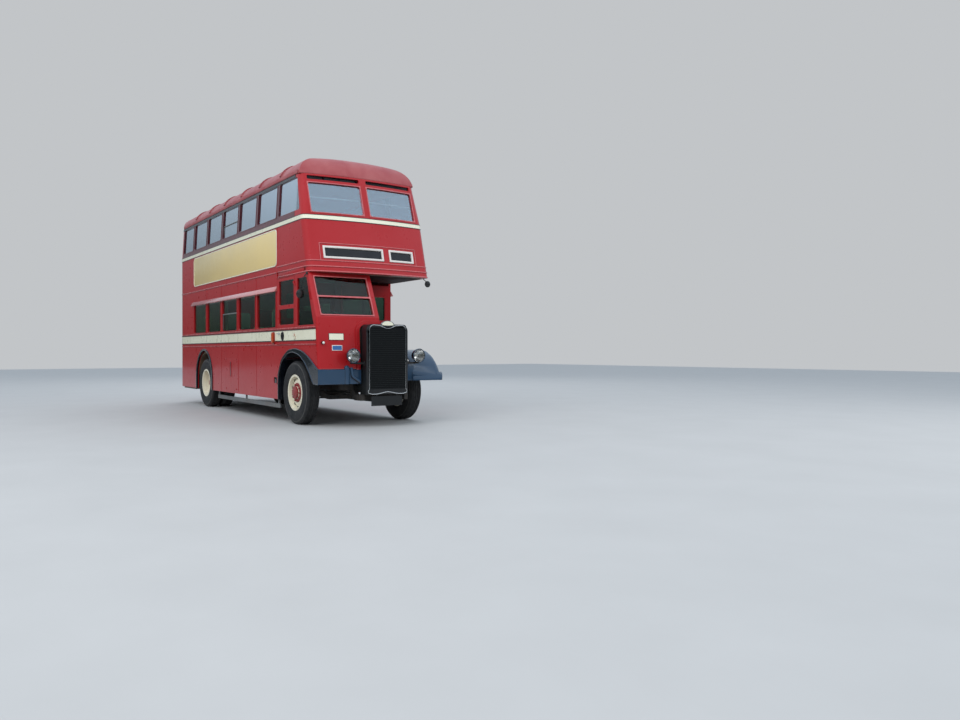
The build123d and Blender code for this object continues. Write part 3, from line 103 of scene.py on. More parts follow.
# Materials
def addNode(tree, kind, inputs=None, **settings):
    node = tree.nodes.new("ShaderNode" + kind)
    for key, value in settings.items():
        setattr(node, key, value)
    for key, value in (inputs or {}).items():
        if isinstance(value, bpy.types.NodeSocket):
            tree.links.new(value, node.inputs[key])
        else:
            node.inputs[key].default_value = value
    return node


def rgba(colour):
    return (*colour, 1)


def startMaterial(name, colour, roughness, metallic=0.0, **extra):
    material = bpy.data.materials.new(name)
    material.use_nodes = True
    material.diffuse_color = rgba(colour)
    tree = material.node_tree
    shader = tree.nodes["Principled BSDF"]
    shader.inputs["Base Color"].default_value = rgba(colour)
    shader.inputs["Roughness"].default_value = roughness
    shader.inputs["Metallic"].default_value = metallic
    for key, value in extra.items():
        shader.inputs[key].default_value = value
    return material, tree, shader


def objectPoint(tree):
    return addNode(tree, "TexCoord").outputs["Object"]


def splitUp(tree, point):
    return addNode(tree, "SeparateXYZ", {0: point}).outputs


def noiseAt(tree, point, scale, detail, roughness=0.55):
    inputs = {"Vector": point, "Scale": scale, "Detail": detail, "Roughness": roughness}
    return addNode(tree, "TexNoise", inputs).outputs["Fac"]


def spread(tree, value, low, high, toLow=0.0, toHigh=1.0):
    inputs = {"Value": value, "From Min": low, "From Max": high, "To Min": toLow, "To Max": toHigh}
    return addNode(tree, "MapRange", inputs).outputs["Result"]


def mixed(tree, share, first, second):
    node = addNode(tree, "Mix", data_type="RGBA")
    for socket, value in ((node.inputs[0], share), (node.inputs[6], first), (node.inputs[7], second)):
        if isinstance(value, bpy.types.NodeSocket):
            tree.links.new(value, socket)
        else:
            socket.default_value = value
    return node.outputs[2]


def sums(tree, operation, first, second):
    return addNode(tree, "Math", {0: first, 1: second}, operation=operation).outputs[0]


def bumpFrom(tree, height, strength, distance, normal=None):
    inputs = {"Height": height, "Strength": strength, "Distance": distance}
    if normal is not None:
        inputs["Normal"] = normal
    return addNode(tree, "Bump", inputs).outputs["Normal"]


def paint(name, colour, look):
    # Enamel on panels: drift of colour, road dust low down, hand-finished waviness and soft edges
    material, tree, shader = startMaterial(name, colour, look["roughness"][0])
    shader.inputs["Coat Weight"].default_value = look.get("coat", 0.0)
    shader.inputs["Coat Roughness"].default_value = look.get("coatRoughness", 0.05)
    point = objectPoint(tree)
    drift = noiseAt(tree, point, look.get("driftScale", 1.3), 5)
    faded = mixed(tree, spread(tree, drift, 0.35, 0.68), rgba(colour), rgba(look["faded"]))
    place = splitUp(tree, point)
    low = spread(tree, place["Z"], look.get("dustTop", 1.3), 0.35)
    streaks = noiseAt(tree, addNode(tree, "Mapping", {"Vector": point, "Scale": (7, 7, 1.2)}).outputs[0], 1.6, 6, 0.65)
    dirty = sums(tree, "MULTIPLY", low, spread(tree, streaks, 0.38, 0.72))
    dirty = sums(tree, "MULTIPLY", dirty, look.get("dust", 0.5))
    tinted = mixed(tree, dirty, faded, rgba(look.get("dustColour", (0.20, 0.15, 0.11))))
    amount = look.get("specks", 0.25)
    if amount:
        specks = spread(tree, noiseAt(tree, point, 46, 2, 0.7), 0.66, 0.8, 0, amount)
        tinted = mixed(tree, specks, tinted, rgba(look.get("speckColour", (0.10, 0.03, 0.03))))
    if look.get("zone"):
        # Between two heights, and behind one place, the panels are another colour
        low, high, ahead, other = look["zone"]
        inside = sums(tree, "MULTIPLY", spread(tree, place["Z"], low, low + 0.001),
                      spread(tree, place["Z"], high + 0.001, high))
        inside = sums(tree, "MULTIPLY", inside, spread(tree, place["X"], ahead + 0.001, ahead))
        tinted = mixed(tree, inside, tinted, rgba(other))
    if look.get("open"):
        # At the bus's front, faces that look ahead or up are painted a lighter blue tone than sides and insides: a
        # painted sky reflection
        normal = splitUp(tree, addNode(tree, "TexCoord").outputs["Normal"])
        facing = sums(tree, "ADD", normal["X"], sums(tree, "MULTIPLY", normal["Z"], 0.7))
        ahead = spread(tree, place["X"], 2.95, 3.15)
        skyLitShare = sums(tree, "MULTIPLY", spread(tree, facing, 0.25, 0.75), ahead)
        tinted = mixed(tree, skyLitShare, tinted, rgba(look["open"]))
    tree.links.new(tinted, shader.inputs["Base Color"])
    fine = noiseAt(tree, point, 9, 4, 0.6)
    rough = spread(tree, fine, 0.3, 0.75, look["roughness"][0], look["roughness"][1])
    rough = sums(tree, "ADD", rough, sums(tree, "MULTIPLY", dirty, 0.5))
    tree.links.new(rough, shader.inputs["Roughness"])
    rounded = addNode(tree, "Bevel", {"Radius": look.get("edge", 0.006)}, samples=4).outputs["Normal"]
    waves = bumpFrom(tree, noiseAt(tree, point, 2.2, 2, 0.4), look.get("waves", 0.12), 0.03, rounded)
    tree.links.new(waves, shader.inputs["Normal"])
    if look.get("coat"):
        tree.links.new(waves, shader.inputs["Coat Normal"])
    shader.inputs["Specular IOR Level"].default_value = look.get("specular", 0.5)
    return material


def plainFinish(name, colour, other, roughness, scale, bump, metallic=0.0, depth=0.003, **extra):
    # A finish that drifts between two colours with grain of its own: rubber, castings, leather, wood
    material, tree, shader = startMaterial(name, colour, roughness[0], metallic, **extra)
    point = objectPoint(tree)
    cloud = noiseAt(tree, point, scale, 6, 0.6)
    tree.links.new(mixed(tree, spread(tree, cloud, 0.35, 0.65), rgba(colour), rgba(other)), shader.inputs["Base Color"])
    tree.links.new(spread(tree, noiseAt(tree, point, scale * 3, 4), 0.3, 0.7, *roughness), shader.inputs["Roughness"])
    grain = noiseAt(tree, point, scale * 14, 3, 0.6)
    rounded = addNode(tree, "Bevel", {"Radius": 0.004}, samples=4).outputs["Normal"]
    tree.links.new(bumpFrom(tree, grain, bump, depth, rounded), shader.inputs["Normal"])
    return material


def glassFinish(name, tint, sky=None):
    # Window glass with a film of dust; above the first heights in sky it mirrors more, and less at the bus's front, and
    # its colour turns pale blue: a painted sky reflection
    extra = {"Transmission Weight": 1.0, "IOR": 1.45, "Specular IOR Level": 0.25}
    material, tree, shader = startMaterial(name, tint, 0.02, **extra)
    point = objectPoint(tree)
    film = spread(tree, noiseAt(tree, point, 3.1, 6, 0.7), 0.42, 0.85)
    tree.links.new(spread(tree, film, 0, 1, 0.0, 0.09), shader.inputs["Roughness"])
    colour = mixed(tree, film, rgba(tint), rgba([c * 0.82 for c in tint]))
    if sky:
        low, high, most, ahead = sky
        place = splitUp(tree, point)
        above = spread(tree, place["Z"], low, high, 0.0, most)
        mirror = sums(tree, "MULTIPLY", above, spread(tree, place["X"], 2.985, 3.0, 1.0, ahead))
        tree.links.new(mirror, shader.inputs["Metallic"])
        # Above those heights the glass is painted pale sky blue: a painted sky reflection
        colour = mixed(tree, spread(tree, place["Z"], low, high), colour, rgba((0.78, 0.88, 0.96)))
    tree.links.new(colour, shader.inputs["Base Color"])
    tree.links.new(bumpFrom(tree, noiseAt(tree, point, 1.4, 2, 0.4), 0.05, 0.01), shader.inputs["Normal"])
    return material


redLook = {"faded": (0.42, 0.016, 0.020), "roughness": (0.26, 0.38), "coat": 0.45, "coatRoughness": 0.08,
           "dust": 0.05, "specks": 0, "waves": 0.06, "edge": 0.007, "specular": 0.25}
bodyRed = paint("bodyRed", (0.40, 0.009, 0.012), redLook)
upperRed = paint("upperRed", (0.40, 0.009, 0.012), {**redLook, "zone": (*upperZone, 2.98, (0.080, 0.006, 0.010))})
roofRed = paint("roofRed", (0.34, 0.050, 0.056), {
    "faded": (0.42, 0.105, 0.105), "roughness": (0.42, 0.58), "coat": 0.25, "coatRoughness": 0.32, "dust": 0.0,
    "driftScale": 2.4, "waves": 0.08, "edge": 0.035, "specks": 0})
# Its open tone is a painted blue sky reflection on the front faces that look ahead or up
wingBlack = paint("wingBlack", (0.005, 0.007, 0.011), {
    "faded": (0.008, 0.011, 0.017), "open": (0.022, 0.055, 0.105), "roughness": (0.14, 0.26), "coat": 0.9,
    "dust": 0.04, "dustTop": 1.1, "specks": 0, "specular": 0.15, "waves": 0.14, "edge": 0.008})
chassisBlack = paint("chassisBlack", (0.012, 0.012, 0.012), {
    "faded": (0.024, 0.021, 0.019), "roughness": (0.5, 0.75), "dust": 0.30, "dustTop": 1.0, "waves": 0.05,
    "specks": 0.5, "speckColour": (0.12, 0.06, 0.035)})
guardGrey = paint("guardGrey", (0.11, 0.125, 0.13), {
    "faded": (0.16, 0.175, 0.18), "roughness": (0.4, 0.6), "dust": 0.4, "dustTop": 0.6, "specks": 0.4,
    "speckColour": (0.14, 0.08, 0.05)})
wheelCream = paint("wheelCream", (0.88, 0.82, 0.64), {
    "faded": (0.82, 0.75, 0.57), "roughness": (0.3, 0.5), "coat": 0.5, "coatRoughness": 0.1, "dust": 0.35,
    "dustTop": 1.1, "dustColour": (0.16, 0.12, 0.09)})
bandCream = paint("bandCream", (0.86, 0.84, 0.66), {
    "faded": (0.80, 0.77, 0.59), "specks": 0, "roughness": (0.24, 0.4), "coat": 0.5, "coatRoughness": 0.08,
    "dust": 0.0})
saloonCream = paint("saloonCream", (0.70, 0.62, 0.45), {
    "faded": (0.62, 0.54, 0.38), "roughness": (0.35, 0.5), "coat": 0.3, "dust": 0.2,
    "speckColour": (0.35, 0.25, 0.15)})
engineGrey = plainFinish("engineGrey", (0.055, 0.065, 0.060), (0.025, 0.025, 0.023), (0.45, 0.75), 6, bump=0.3)
tyreRubber = plainFinish("tyreRubber", (0.012, 0.013, 0.014), (0.026, 0.025, 0.025), (0.62, 0.85), 7, bump=0.2,
                         depth=0.002)
radiatorBlack = plainFinish("radiatorBlack", (0.006, 0.007, 0.008), (0.010, 0.011, 0.012), (0.3, 0.5), 5, bump=0.08)
chrome = plainFinish("chrome", (0.72, 0.72, 0.71), (0.60, 0.60, 0.60), (0.08, 0.22), 9, metallic=1.0, bump=0.03)
steel = plainFinish("steel", (0.42, 0.42, 0.41), (0.30, 0.29, 0.28), (0.3, 0.5), 9, metallic=0.9, bump=0.08)
treadMetal = plainFinish("treadMetal", (0.40, 0.40, 0.39), (0.27, 0.26, 0.25), (0.35, 0.6), 7, metallic=0.8, bump=0.2)
floorWood = plainFinish("floorWood", (0.16, 0.10, 0.06), (0.09, 0.06, 0.04), (0.5, 0.75), 5, bump=0.25)
seatCloth = plainFinish("seatCloth", (0.17, 0.030, 0.035), (0.10, 0.020, 0.030), (0.8, 0.95), 30, bump=0.5)
seatLeather = plainFinish("seatLeather", (0.060, 0.028, 0.018), (0.035, 0.018, 0.013), (0.4, 0.6), 14, bump=0.35)
poleWhite = plainFinish("poleWhite", (0.74, 0.72, 0.66), (0.62, 0.59, 0.52), (0.25, 0.4), 9, bump=0.04)
rimBlack = plainFinish("rimBlack", (0.012, 0.012, 0.012), (0.02, 0.02, 0.02), (0.2, 0.35), 12, bump=0.04)
clearGlass = glassFinish("clearGlass", (0.38, 0.53, 0.42), sky=(3.42, 3.50, 0.80, 0.36))

slotFinish = {"body_red": bodyRed, "roof_red": roofRed, "wing_black": wingBlack, "chassis_black": chassisBlack,
              "engine_grey": engineGrey, "wheel_cream": wheelCream, "tyre": tyreRubber, "glass": clearGlass,
              "radiator_black": radiatorBlack, "lamp_metal": chrome, "guard_grey": guardGrey, "floor_wood": floorWood,
              "saloon_cream": saloonCream, "seat_cloth": seatCloth, "seat_leather": seatLeather, "frame_steel": steel,
              "pole_white": poleWhite, "stair_metal": treadMetal, "wheel_rim_black": rimBlack,
              "plate_black": radiatorBlack}
print("materials made:", len(bpy.data.materials))


# The record says which slot each node has
slots = {part["node"]: part["material_slot"] for part in frame["record"]["subparts"]}
for name, node in nodes.items():
    finish = slotFinish[slots[name]]
    if not node.material_slots:
        node.data.materials.append(finish)
    for place in node.material_slots:
        place.material = upperRed if name.startswith("upper_side") else finish
print("solids painted")

# Paints and finishes used only by the added pieces
maroon = paint("maroon", (0.085, 0.007, 0.012), {
    "faded": (0.12, 0.014, 0.020), "roughness": (0.25, 0.4), "coat": 0.6, "coatRoughness": 0.08, "dust": 0.3,
    "waves": 0.05})
lineBlack = paint("lineBlack", (0.010, 0.010, 0.011), {
    "faded": (0.02, 0.018, 0.018), "roughness": (0.25, 0.4), "coat": 0.5, "dust": 0.3, "waves": 0.03})
frameWhite = paint("frameWhite", (0.78, 0.74, 0.70), {
    "faded": (0.70, 0.65, 0.60), "roughness": (0.3, 0.45), "coat": 0.4, "dust": 0.0, "speckColour": (0.4, 0.35, 0.3),
    "waves": 0.03})
# The mouldings are a paler red than the body: a painted highlight of sky light caught by their tops
mouldingRed = paint("mouldingRed", (0.52, 0.085, 0.090), {
    "faded": (0.58, 0.12, 0.12), "specks": 0, "roughness": (0.2, 0.34), "coat": 0.9, "coatRoughness": 0.07,
    "dust": 0.1, "waves": 0.03})
hubRed = paint("hubRed", (0.30, 0.014, 0.016), {
    "faded": (0.24, 0.018, 0.018), "roughness": (0.3, 0.45), "coat": 0.4, "dust": 0.3, "dustTop": 1.1, "waves": 0.03})
badgeBlue = paint("badgeBlue", (0.03, 0.12, 0.34), {
    "faded": (0.05, 0.17, 0.40), "roughness": (0.2, 0.3), "coat": 0.6, "dust": 0.1, "speckColour": (0.3, 0.3, 0.3),
    "waves": 0.02})
# Black for the blank blinds, and painted shade for holes and vent slots
blindAndShadeBlack = plainFinish("blindAndShadeBlack", (0.006, 0.006, 0.008), (0.012, 0.012, 0.015), (0.12, 0.25), 6, bump=0.05)
dullMetal = plainFinish("dullMetal", (0.36, 0.36, 0.35), (0.26, 0.25, 0.24), (0.35, 0.55), 14, metallic=0.85, bump=0.08)
scuffedRubber = plainFinish("scuffedRubber", (0.085, 0.082, 0.078), (0.05, 0.048, 0.046), (0.7, 0.9), 11, bump=0.25,
                            depth=0.002)
orangeLens = plainFinish("orangeLens", (0.50, 0.075, 0.02), (0.42, 0.055, 0.015), (0.12, 0.25), 20, bump=0.04)
redLens = plainFinish("redLens", (0.42, 0.01, 0.01), (0.30, 0.008, 0.008), (0.1, 0.22), 20, bump=0.04)
bulbGlass = plainFinish("bulbGlass", (0.85, 0.83, 0.76), (0.75, 0.73, 0.68), (0.1, 0.2), 20, bump=0.02)
coreMesh = plainFinish("coreMesh", (0.003, 0.004, 0.005), (0.007, 0.008, 0.008), (0.55, 0.75), 60, bump=0.5,
                       **{"Specular IOR Level": 0.15})
# The slot name listed with each paint, for a call that names no other
slotPaints = {"body_red": "bodyRed maroon mouldingRed hubRed rainRed canopyDark", "plate_black": "blindAndShadeBlack",
              "saloon_cream": "bandCream frameWhite badgeBlue panelCream", "wing_black": "wingBlack lineBlack",
              "lamp_metal": "chrome orangeLens", "glass": "lampGlass bulbGlass redLens", "frame_steel": "dullMetal",
              "wheel_rim_black": "rimBlack", "radiator_black": "radiatorBlack coreMesh", "stair_metal": "treadMetal",
              "chassis_black": "chassisBlack", "floor_wood": "floorWood", "wheel_cream": "wheelCream"}
usualSlot = {finish: slotName for slotName, finishes in slotPaints.items() for finish in finishes.split()}


# Modelling helpers
def selectBy(vertices=False, faces=True):
    bpy.context.tool_settings.mesh_select_mode = (vertices, not vertices and not faces, faces and not vertices)


def deselectAll():
    if bpy.context.mode != "OBJECT":
        bpy.ops.object.mode_set(mode="OBJECT")
    bpy.ops.object.select_all(action="DESELECT")


def pick(piece):
    deselectAll()
    piece.select_set(True)
    bpy.context.view_layer.objects.active = piece


def editAll(piece):
    pick(piece)
    bpy.ops.object.mode_set(mode="EDIT")
    bpy.ops.mesh.select_all(action="SELECT")


def leaveEdit():
    bpy.ops.object.mode_set(mode="OBJECT")


def pickFaces(piece, wanted):
    # Opens the piece in edit mode with only the wanted faces selected
    selectBy(faces=True)
    editAll(piece)
    bpy.ops.mesh.select_all(action="DESELECT")
    leaveEdit()
    for face in piece.data.polygons:
        face.select = wanted(face)
    bpy.ops.object.mode_set(mode="EDIT")


def named(name):
    piece = bpy.context.object
    piece.name = name
    piece.data.name = name
    return piece


def applied(piece, kind, **settings):
    pick(piece)
    modifier = piece.modifiers.new(kind.lower(), kind)
    for key, value in settings.items():
        setattr(modifier, key, value)
    bpy.ops.object.modifier_apply(modifier=modifier.name)


def settle(piece):
    pick(piece)
    bpy.ops.object.transform_apply(location=True, rotation=True, scale=True)


def hang(piece, material, slotName=None, body="bus", smooth=32):
    # Settles the piece's place in its mesh, smooths it, paints it and hangs it on its body
    slotName = slotName or usualSlot[material.name]
    settle(piece)
    bpy.ops.object.shade_smooth_by_angle(angle=math.radians(smooth))
    if material is not None:
        piece.data.materials.clear()
        piece.data.materials.append(material)
    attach(piece, body)
    return piece


def joined(pieces, name):
    deselectAll()
    for piece in pieces:
        piece.select_set(True)
    bpy.context.view_layer.objects.active = pieces[0]
    if len(pieces) > 1:
        bpy.ops.object.join()
    return named(name)


def copied(piece, name, mirror=False):
    twin = piece.copy()
    twin.data = piece.data.copy()
    twin.name = name
    twin.data.name = name
    bpy.context.scene.collection.objects.link(twin)
    if mirror:
        for vertex in twin.data.vertices:
            vertex.co.y = -vertex.co.y
        twin.data.flip_normals()
    return twin


def softened(piece, bevel, steps=2, angle=40):
    if bevel:
        applied(piece, "BEVEL", width=bevel, segments=steps, limit_method="ANGLE", angle_limit=math.radians(angle))
    return piece


def block(name, low, high, bevel=0.0, steps=2):
    deselectAll()
    bpy.ops.mesh.primitive_cube_add(size=1, location=[(a + b) / 2 for a, b in zip(low, high)])
    piece = named(name)
    piece.scale = [b - a for a, b in zip(low, high)]
    settle(piece)
    return softened(piece, bevel, steps)


def slicePiece(piece, cuts, clear=True):
    # Keeps what lies inside the cuts, each (axis, low, high), or only cuts the faces there
    for axis, low, high in cuts:
        for level, keepAbove in ((low, True), (high, False)):
            if level is None:
                continue
            normal, spot = [0, 0, 0], [0, 0, 0]
            normal[axis], spot[axis] = 1, level
            editAll(piece)
            bpy.ops.mesh.bisect(plane_co=spot, plane_no=normal, clear_inner=clear and keepAbove,
                                clear_outer=clear and not keepAbove, threshold=1e-6)
            leaveEdit()


def copyOf(source, name):
    # A new piece with the mesh of one of the solids
    piece = bpy.data.objects.new(name, nodes[source].data.copy())
    bpy.context.scene.collection.objects.link(piece)
    return piece


def strip(name, source, cuts, facing, proud, material, slotName=None, body="bus", limit=0.55, soft=0.0, hole=None):
    # A strip that follows a solid's own outer face: the face is cut out, lifted and given its thickness
    sunk = 0.001
    selectBy(faces=True)
    piece = copyOf(source, name)
    piece.data.name = name
    pick(piece)
    bpy.ops.mesh.customdata_custom_splitnormals_clear()
    directions = [Vector(way).normalized() for way in facing]
    pickFaces(piece, lambda face: not any(face.normal.dot(way) > limit for way in directions))
    bpy.ops.mesh.delete(type="FACE")
    bpy.ops.mesh.select_all(action="SELECT")
    bpy.ops.mesh.remove_doubles(threshold=2e-5)
    leaveEdit()
    slicePiece(piece, cuts)
    if hole:
        slicePiece(piece, hole, clear=False)
        pickFaces(piece, lambda face: all(low < face.center[axis] < high for axis, low, high in hole))
        bpy.ops.mesh.delete(type="FACE")
    editAll(piece)
    bpy.ops.mesh.dissolve_limited(angle_limit=math.radians(0.4))
    leaveEdit()
    if not piece.data.polygons:
        raise RuntimeError(f"strip {name} has no faces")
    flat = piece.data.copy()
    low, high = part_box(source)
    for even in (True, False):
        # An even offset can throw stray points far out, and then a plain one is used
        applied(piece, "SOLIDIFY", thickness=proud + sunk, offset=1 - 2 * sunk / (proud + sunk), use_even_offset=even)
        spots = [vertex.co for vertex in piece.data.vertices]
        if all(low[i] - 2 * proud < spot[i] < high[i] + 2 * proud for spot in spots for i in range(3)):
            break
        piece.data = flat
    softened(piece, soft, 2, 50)
    return hang(piece, material, slotName, body)


def flatPiece(name):
    deselectAll()
    selectBy(vertices=True)
    bpy.ops.mesh.primitive_plane_add(size=1, location=(0, 0, 0))
    return named(name)


def drawnLine(name, run):
    # A line of points, drawn by extruding one point along it and left open in edit mode, all of it selected
    piece = flatPiece(name)
    editAll(piece)
    bpy.ops.mesh.merge(type="CENTER")
    bpy.ops.transform.translate(value=run[0])
    for start, end in zip(run, run[1:]):
        bpy.ops.mesh.extrude_region_move(TRANSFORM_OT_translate={"value": end - start})
    bpy.ops.mesh.select_all(action="SELECT")
    return piece


def prism(name, outline, axis, span, bevel=0.0):
    # A prism from a polygon drawn in the plane square to axis, from span[0] to span[1]
    places = {"x": lambda a, b, s: (s, a, b), "y": lambda a, b, s: (a, s, b), "z": lambda a, b, s: (a, b, s)}[axis]
    piece = drawnLine(name, [Vector(places(a, b, span[0])) for a, b in outline])
    bpy.ops.mesh.edge_face_add()
    bpy.ops.mesh.extrude_region_move(TRANSFORM_OT_translate={"value": Vector(places(0, 0, span[1] - span[0]))})
    bpy.ops.mesh.select_all(action="SELECT")
    bpy.ops.mesh.normals_make_consistent(inside=False)
    leaveEdit()
    return softened(piece, bevel)


def plate(name, along, across, place, axis, depth, corner, rim=None, soft=0.002, steps=5):
    # A rounded plate square to axis, or with rim a frame that wide; along and across are its outer limits
    piece = flatPiece(name)
    piece.scale = (along[1] - along[0], across[1] - across[0], 1)
    settle(piece)
    editAll(piece)
    bpy.ops.mesh.bevel(offset=corner, segments=steps, affect="VERTICES")
    leaveEdit()
    if rim:
        selectBy(faces=True)
        editAll(piece)
        bpy.ops.mesh.inset(thickness=rim, use_even_offset=True)
        bpy.ops.mesh.delete(type="FACE")
        leaveEdit()
    applied(piece, "SOLIDIFY", thickness=depth, offset=0)
    softened(piece, soft, 2, 50)
    middle = ((along[0] + along[1]) / 2, (across[0] + across[1]) / 2)
    quarter = math.radians(90)
    piece.rotation_euler = {"x": (quarter, 0, quarter), "y": (quarter, 0, 0)}[axis]
    piece.location = {"x": (place, *middle), "y": (middle[0], place, middle[1])}[axis]
    settle(piece)
    return piece


def turned(name, outline, centre, axis, steps):
    # A round piece from its half section, given as (distance along the axis, radius) from end to end
    piece = drawnLine(name, [Vector((radius, 0, along)) for along, radius in outline])
    bpy.ops.mesh.spin(steps=steps, angle=2 * math.pi, center=(0, 0, 0), axis=(0, 0, 1))
    bpy.ops.mesh.select_all(action="SELECT")
    bpy.ops.mesh.remove_doubles(threshold=1e-5)
    bpy.ops.mesh.normals_make_consistent(inside=False)
    leaveEdit()
    quarter = math.radians(90)
    turns = {"x": (0, quarter, 0), "-x": (0, -quarter, 0), "y": (-quarter, 0, 0), "-y": (quarter, 0, 0), "z": (0, 0, 0)}
    piece.rotation_euler = turns[axis]
    piece.location = centre
    settle(piece)
    return piece


def tube(name, points, radius, bend=0.0, closed=False, rings=2):
    curve = bpy.data.curves.new(name, "CURVE")
    curve.dimensions = "3D"
    run = [Vector(point) for point in points]
    if bend:
        rounded = [run[0]]
        for before, corner, after in zip(run, run[1:], run[2:]):
            back, ahead = before - corner, after - corner
            reach = min(bend, back.length * 0.45, ahead.length * 0.45)
            start, end = corner + back.normalized() * reach, corner + ahead.normalized() * reach
            for i in range(5):
                t = i / 4
                rounded.append(start * (1 - t) ** 2 + corner * 2 * t * (1 - t) + end * t ** 2)
        run = rounded + [run[-1]]
    line = curve.splines.new("POLY")
    line.points.add(len(run) - 1)
    for point, spot in zip(line.points, run):
        point.co = (*spot, 1)
    line.use_cyclic_u = closed
    curve.bevel_depth = radius
    curve.bevel_resolution = rings
    curve.use_fill_caps = True
    piece = bpy.data.objects.new(name, curve)
    bpy.context.scene.collection.objects.link(piece)
    pick(piece)
    bpy.ops.object.convert(target="MESH")
    piece = named(name)
    selectBy(vertices=True)
    editAll(piece)
    bpy.ops.mesh.remove_doubles(threshold=1e-5)
    bpy.ops.mesh.normals_make_consistent(inside=False)
    leaveEdit()
    return piece


def bothSides(piece, name):
    # The piece and its mirror image across the bus, as one
    return joined([piece, copied(piece, name + "Twin", mirror=True)], name)


def around(middle, half):
    return middle - half, middle + half


def stretched(piece, axis, share, middle):
    # Stretches the piece along one axis about one place on it
    away, way = Vector((0, 0, 0)), Vector((0, 0, 0))
    away[axis], way[axis] = middle, 1
    piece.data.transform(Matrix.Translation(away) @ Matrix.Scale(share, 4, way) @ Matrix.Translation(-away))


# The body's trim
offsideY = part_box("lower_side_offside")[0].y
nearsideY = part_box("lower_side_nearside")[1].y
pillarXs = [2.210, 1.185, 0.160, -0.865, -1.890, -2.915]
bayEnds = [(rear + 0.055, front - 0.055) for front, rear in zip(pillarXs, pillarXs[1:])]
sideSources = {"Offside": ("lower_side_offside", "upper_side_offside", -1),
               "Nearside": ("lower_side_nearside", "upper_side_nearside", 1)}
allRound = [(0, -1, 0), (0, 1, 0), (-1, 0, 0), (-1, -1, 0), (-1, 1, 0)]
frontWays = [(0, -1, 0), (0, 1, 0), (1, 0, 0), (1, 1, 0), (1, -1, 0)]
waistLook = {"band": (1.405, 1.570), "proud": 0.004, "bead": 0.013, "beadProud": 0.009, "belt": (1.329, 1.343),
             "sill": (1.600, 1.618)}
upperLook = {"band": (3.380, 3.446), "line": 0.009, "first": (2.680, 2.694), "second": (2.584, 2.599),
             "third": (2.500, 2.516), "proud": {"first": 0.010, "second": 0.013, "third": 0.012}, "firstStart": 2.215,
             "edge": (2.694, 3.371), "head": (4.112, 4.163), "headProud": 0.005}


def waistTrim(look):
    # The cream waist band between black beads, the moulding below it and the sill above
    low, high = look["band"]
    bead = look["bead"]
    rows = [("waistBand", (low, high), look["proud"], bandCream),
            ("waistBeadTop", (high, high + bead), look["beadProud"], lineBlack),
            ("waistBeadFoot", (low - bead, low), look["beadProud"], lineBlack),
            ("beltMoulding", look["belt"], 0.010, mouldingRed),
            ("sillMoulding", look["sill"], 0.012, mouldingRed)]
    sources = [("Offside", "lower_side_offside", "bus"), ("Nearside", "lower_side_nearside", "bus"),
               ("Rear", "lower_rear", "bus"), ("Cab", "cab_offside", "bus"), ("Door", "cab_door", "cab_door")]
    for title, heights, proud, material in rows:
        for place, source, body in sources:
            if (place, title) in (("Door", "beltMoulding"), ("Rear", "sillMoulding")):
                continue
            strip(title + place, source, [(2, *heights)], allRound, proud, material, body=body)


waistTrim(waistLook)
print("waist trimmed")


def upperTrim(look):
    # The upper cream band with dark lines, and the mouldings round the foot of the upper deck
    low, high = look["band"]
    line = look["line"]
    sources = [("Offside", "upper_side_offside", [(0, -1, 0)], "bus"),
               ("Nearside", "upper_side_nearside", [(0, 1, 0)], "bus"),
               ("Rear", "upper_rear", allRound, "bus"), ("Front", "upper_front", frontWays, "bus"),
               ("Door", "emergency_door", [(-1, 0, 0)], "emergency_door")]
    rows = [("upperBand", (low, high), 0.004, bandCream),
            ("upperLineTop", (high, high + line), 0.007, lineBlack),
            ("upperLineFoot", (low - line, low), 0.007, lineBlack)]
    for title, heights, proud, material in rows:
        for place, source, facing, body in sources:
            strip(title + place, source, [(2, *heights)], facing, proud, material, body=body)
    proud = look["proud"]
    for title in ("first", "second", "third"):
        strip(title + "MouldingFront", "upper_front", [(2, *look[title])], frontWays, proud[title], mouldingRed)
    for place, (lower, upper, sign) in sideSources.items():
        ways, start = [(0, sign, 0)], look["firstStart"]
        strip("firstMoulding" + place, upper, [(2, *look["first"]), (0, start, None)], ways, proud["first"],
              mouldingRed)
        strip("secondMoulding" + place, lower, [(2, *look["second"])], ways, proud["second"], mouldingRed)
        strip("panelEdge" + place, upper, [(2, *look["edge"]), (0, start, start + 0.012)], ways, 0.008, mouldingRed)
        strip("windowLine" + place, upper, [(2, *look["head"])], ways, look["headProud"], lineBlack)
        strip("windowZone" + place, upper, [(2, *upperZone), (0, -3.80, 2.98)], ways, 0.002, maroon)
    strip("secondMouldingRear", "lower_rear", [(2, *look["second"])], allRound, proud["second"], mouldingRed)
    strip("windowLineRear", "upper_rear", [(2, *look["head"])], allRound, look["headProud"], lineBlack)


upperTrim(upperLook)
print("upper deck trimmed")
valanceLook = {"x": (2.262, 3.428), "z": (2.495, 2.602), "thick": 0.046, "shadeSheet": (2.4895, 2.4962)}


def deckValances(look):
    # The panel that carries the deck's side down to the canopy's edge, ahead of the lower saloon
    for place, sign in sidePairs:
        edge = sign * nearsideY
        inner = edge - sign * look["thick"]
        x, z = look["x"], look["z"]
        outline = [(x[0], z[0]), (x[1], z[0]), (x[1] - 0.012, z[1]), (x[0], z[1])]
        hang(prism("deckValance" + place, outline, "y", sorted((edge, inner)), 0.003), bodyRed)
        for title in ("second", "third"):
            low, high = upperLook[title]
            outline = [(x[0], low), (x[1] - 0.002, low), (x[1] - 0.004, high), (x[0], high)]
            span = sorted((edge - sign * 0.001, edge + sign * upperLook["proud"][title]))
            hang(prism(title + "MouldingCanopy" + place, outline, "y", span, 0.003), mouldingRed)
    # Under the overhanging deck lies a near-black sheet: painted shade
    (rear, front), (low, high) = look["x"], look["shadeSheet"]
    shadeSheet = block("canopyShadeSheet", (rear, 0.004, low), (front - 0.020, nearsideY - 0.048, high), 0.002)
    hang(shadeSheet, canopyDark)
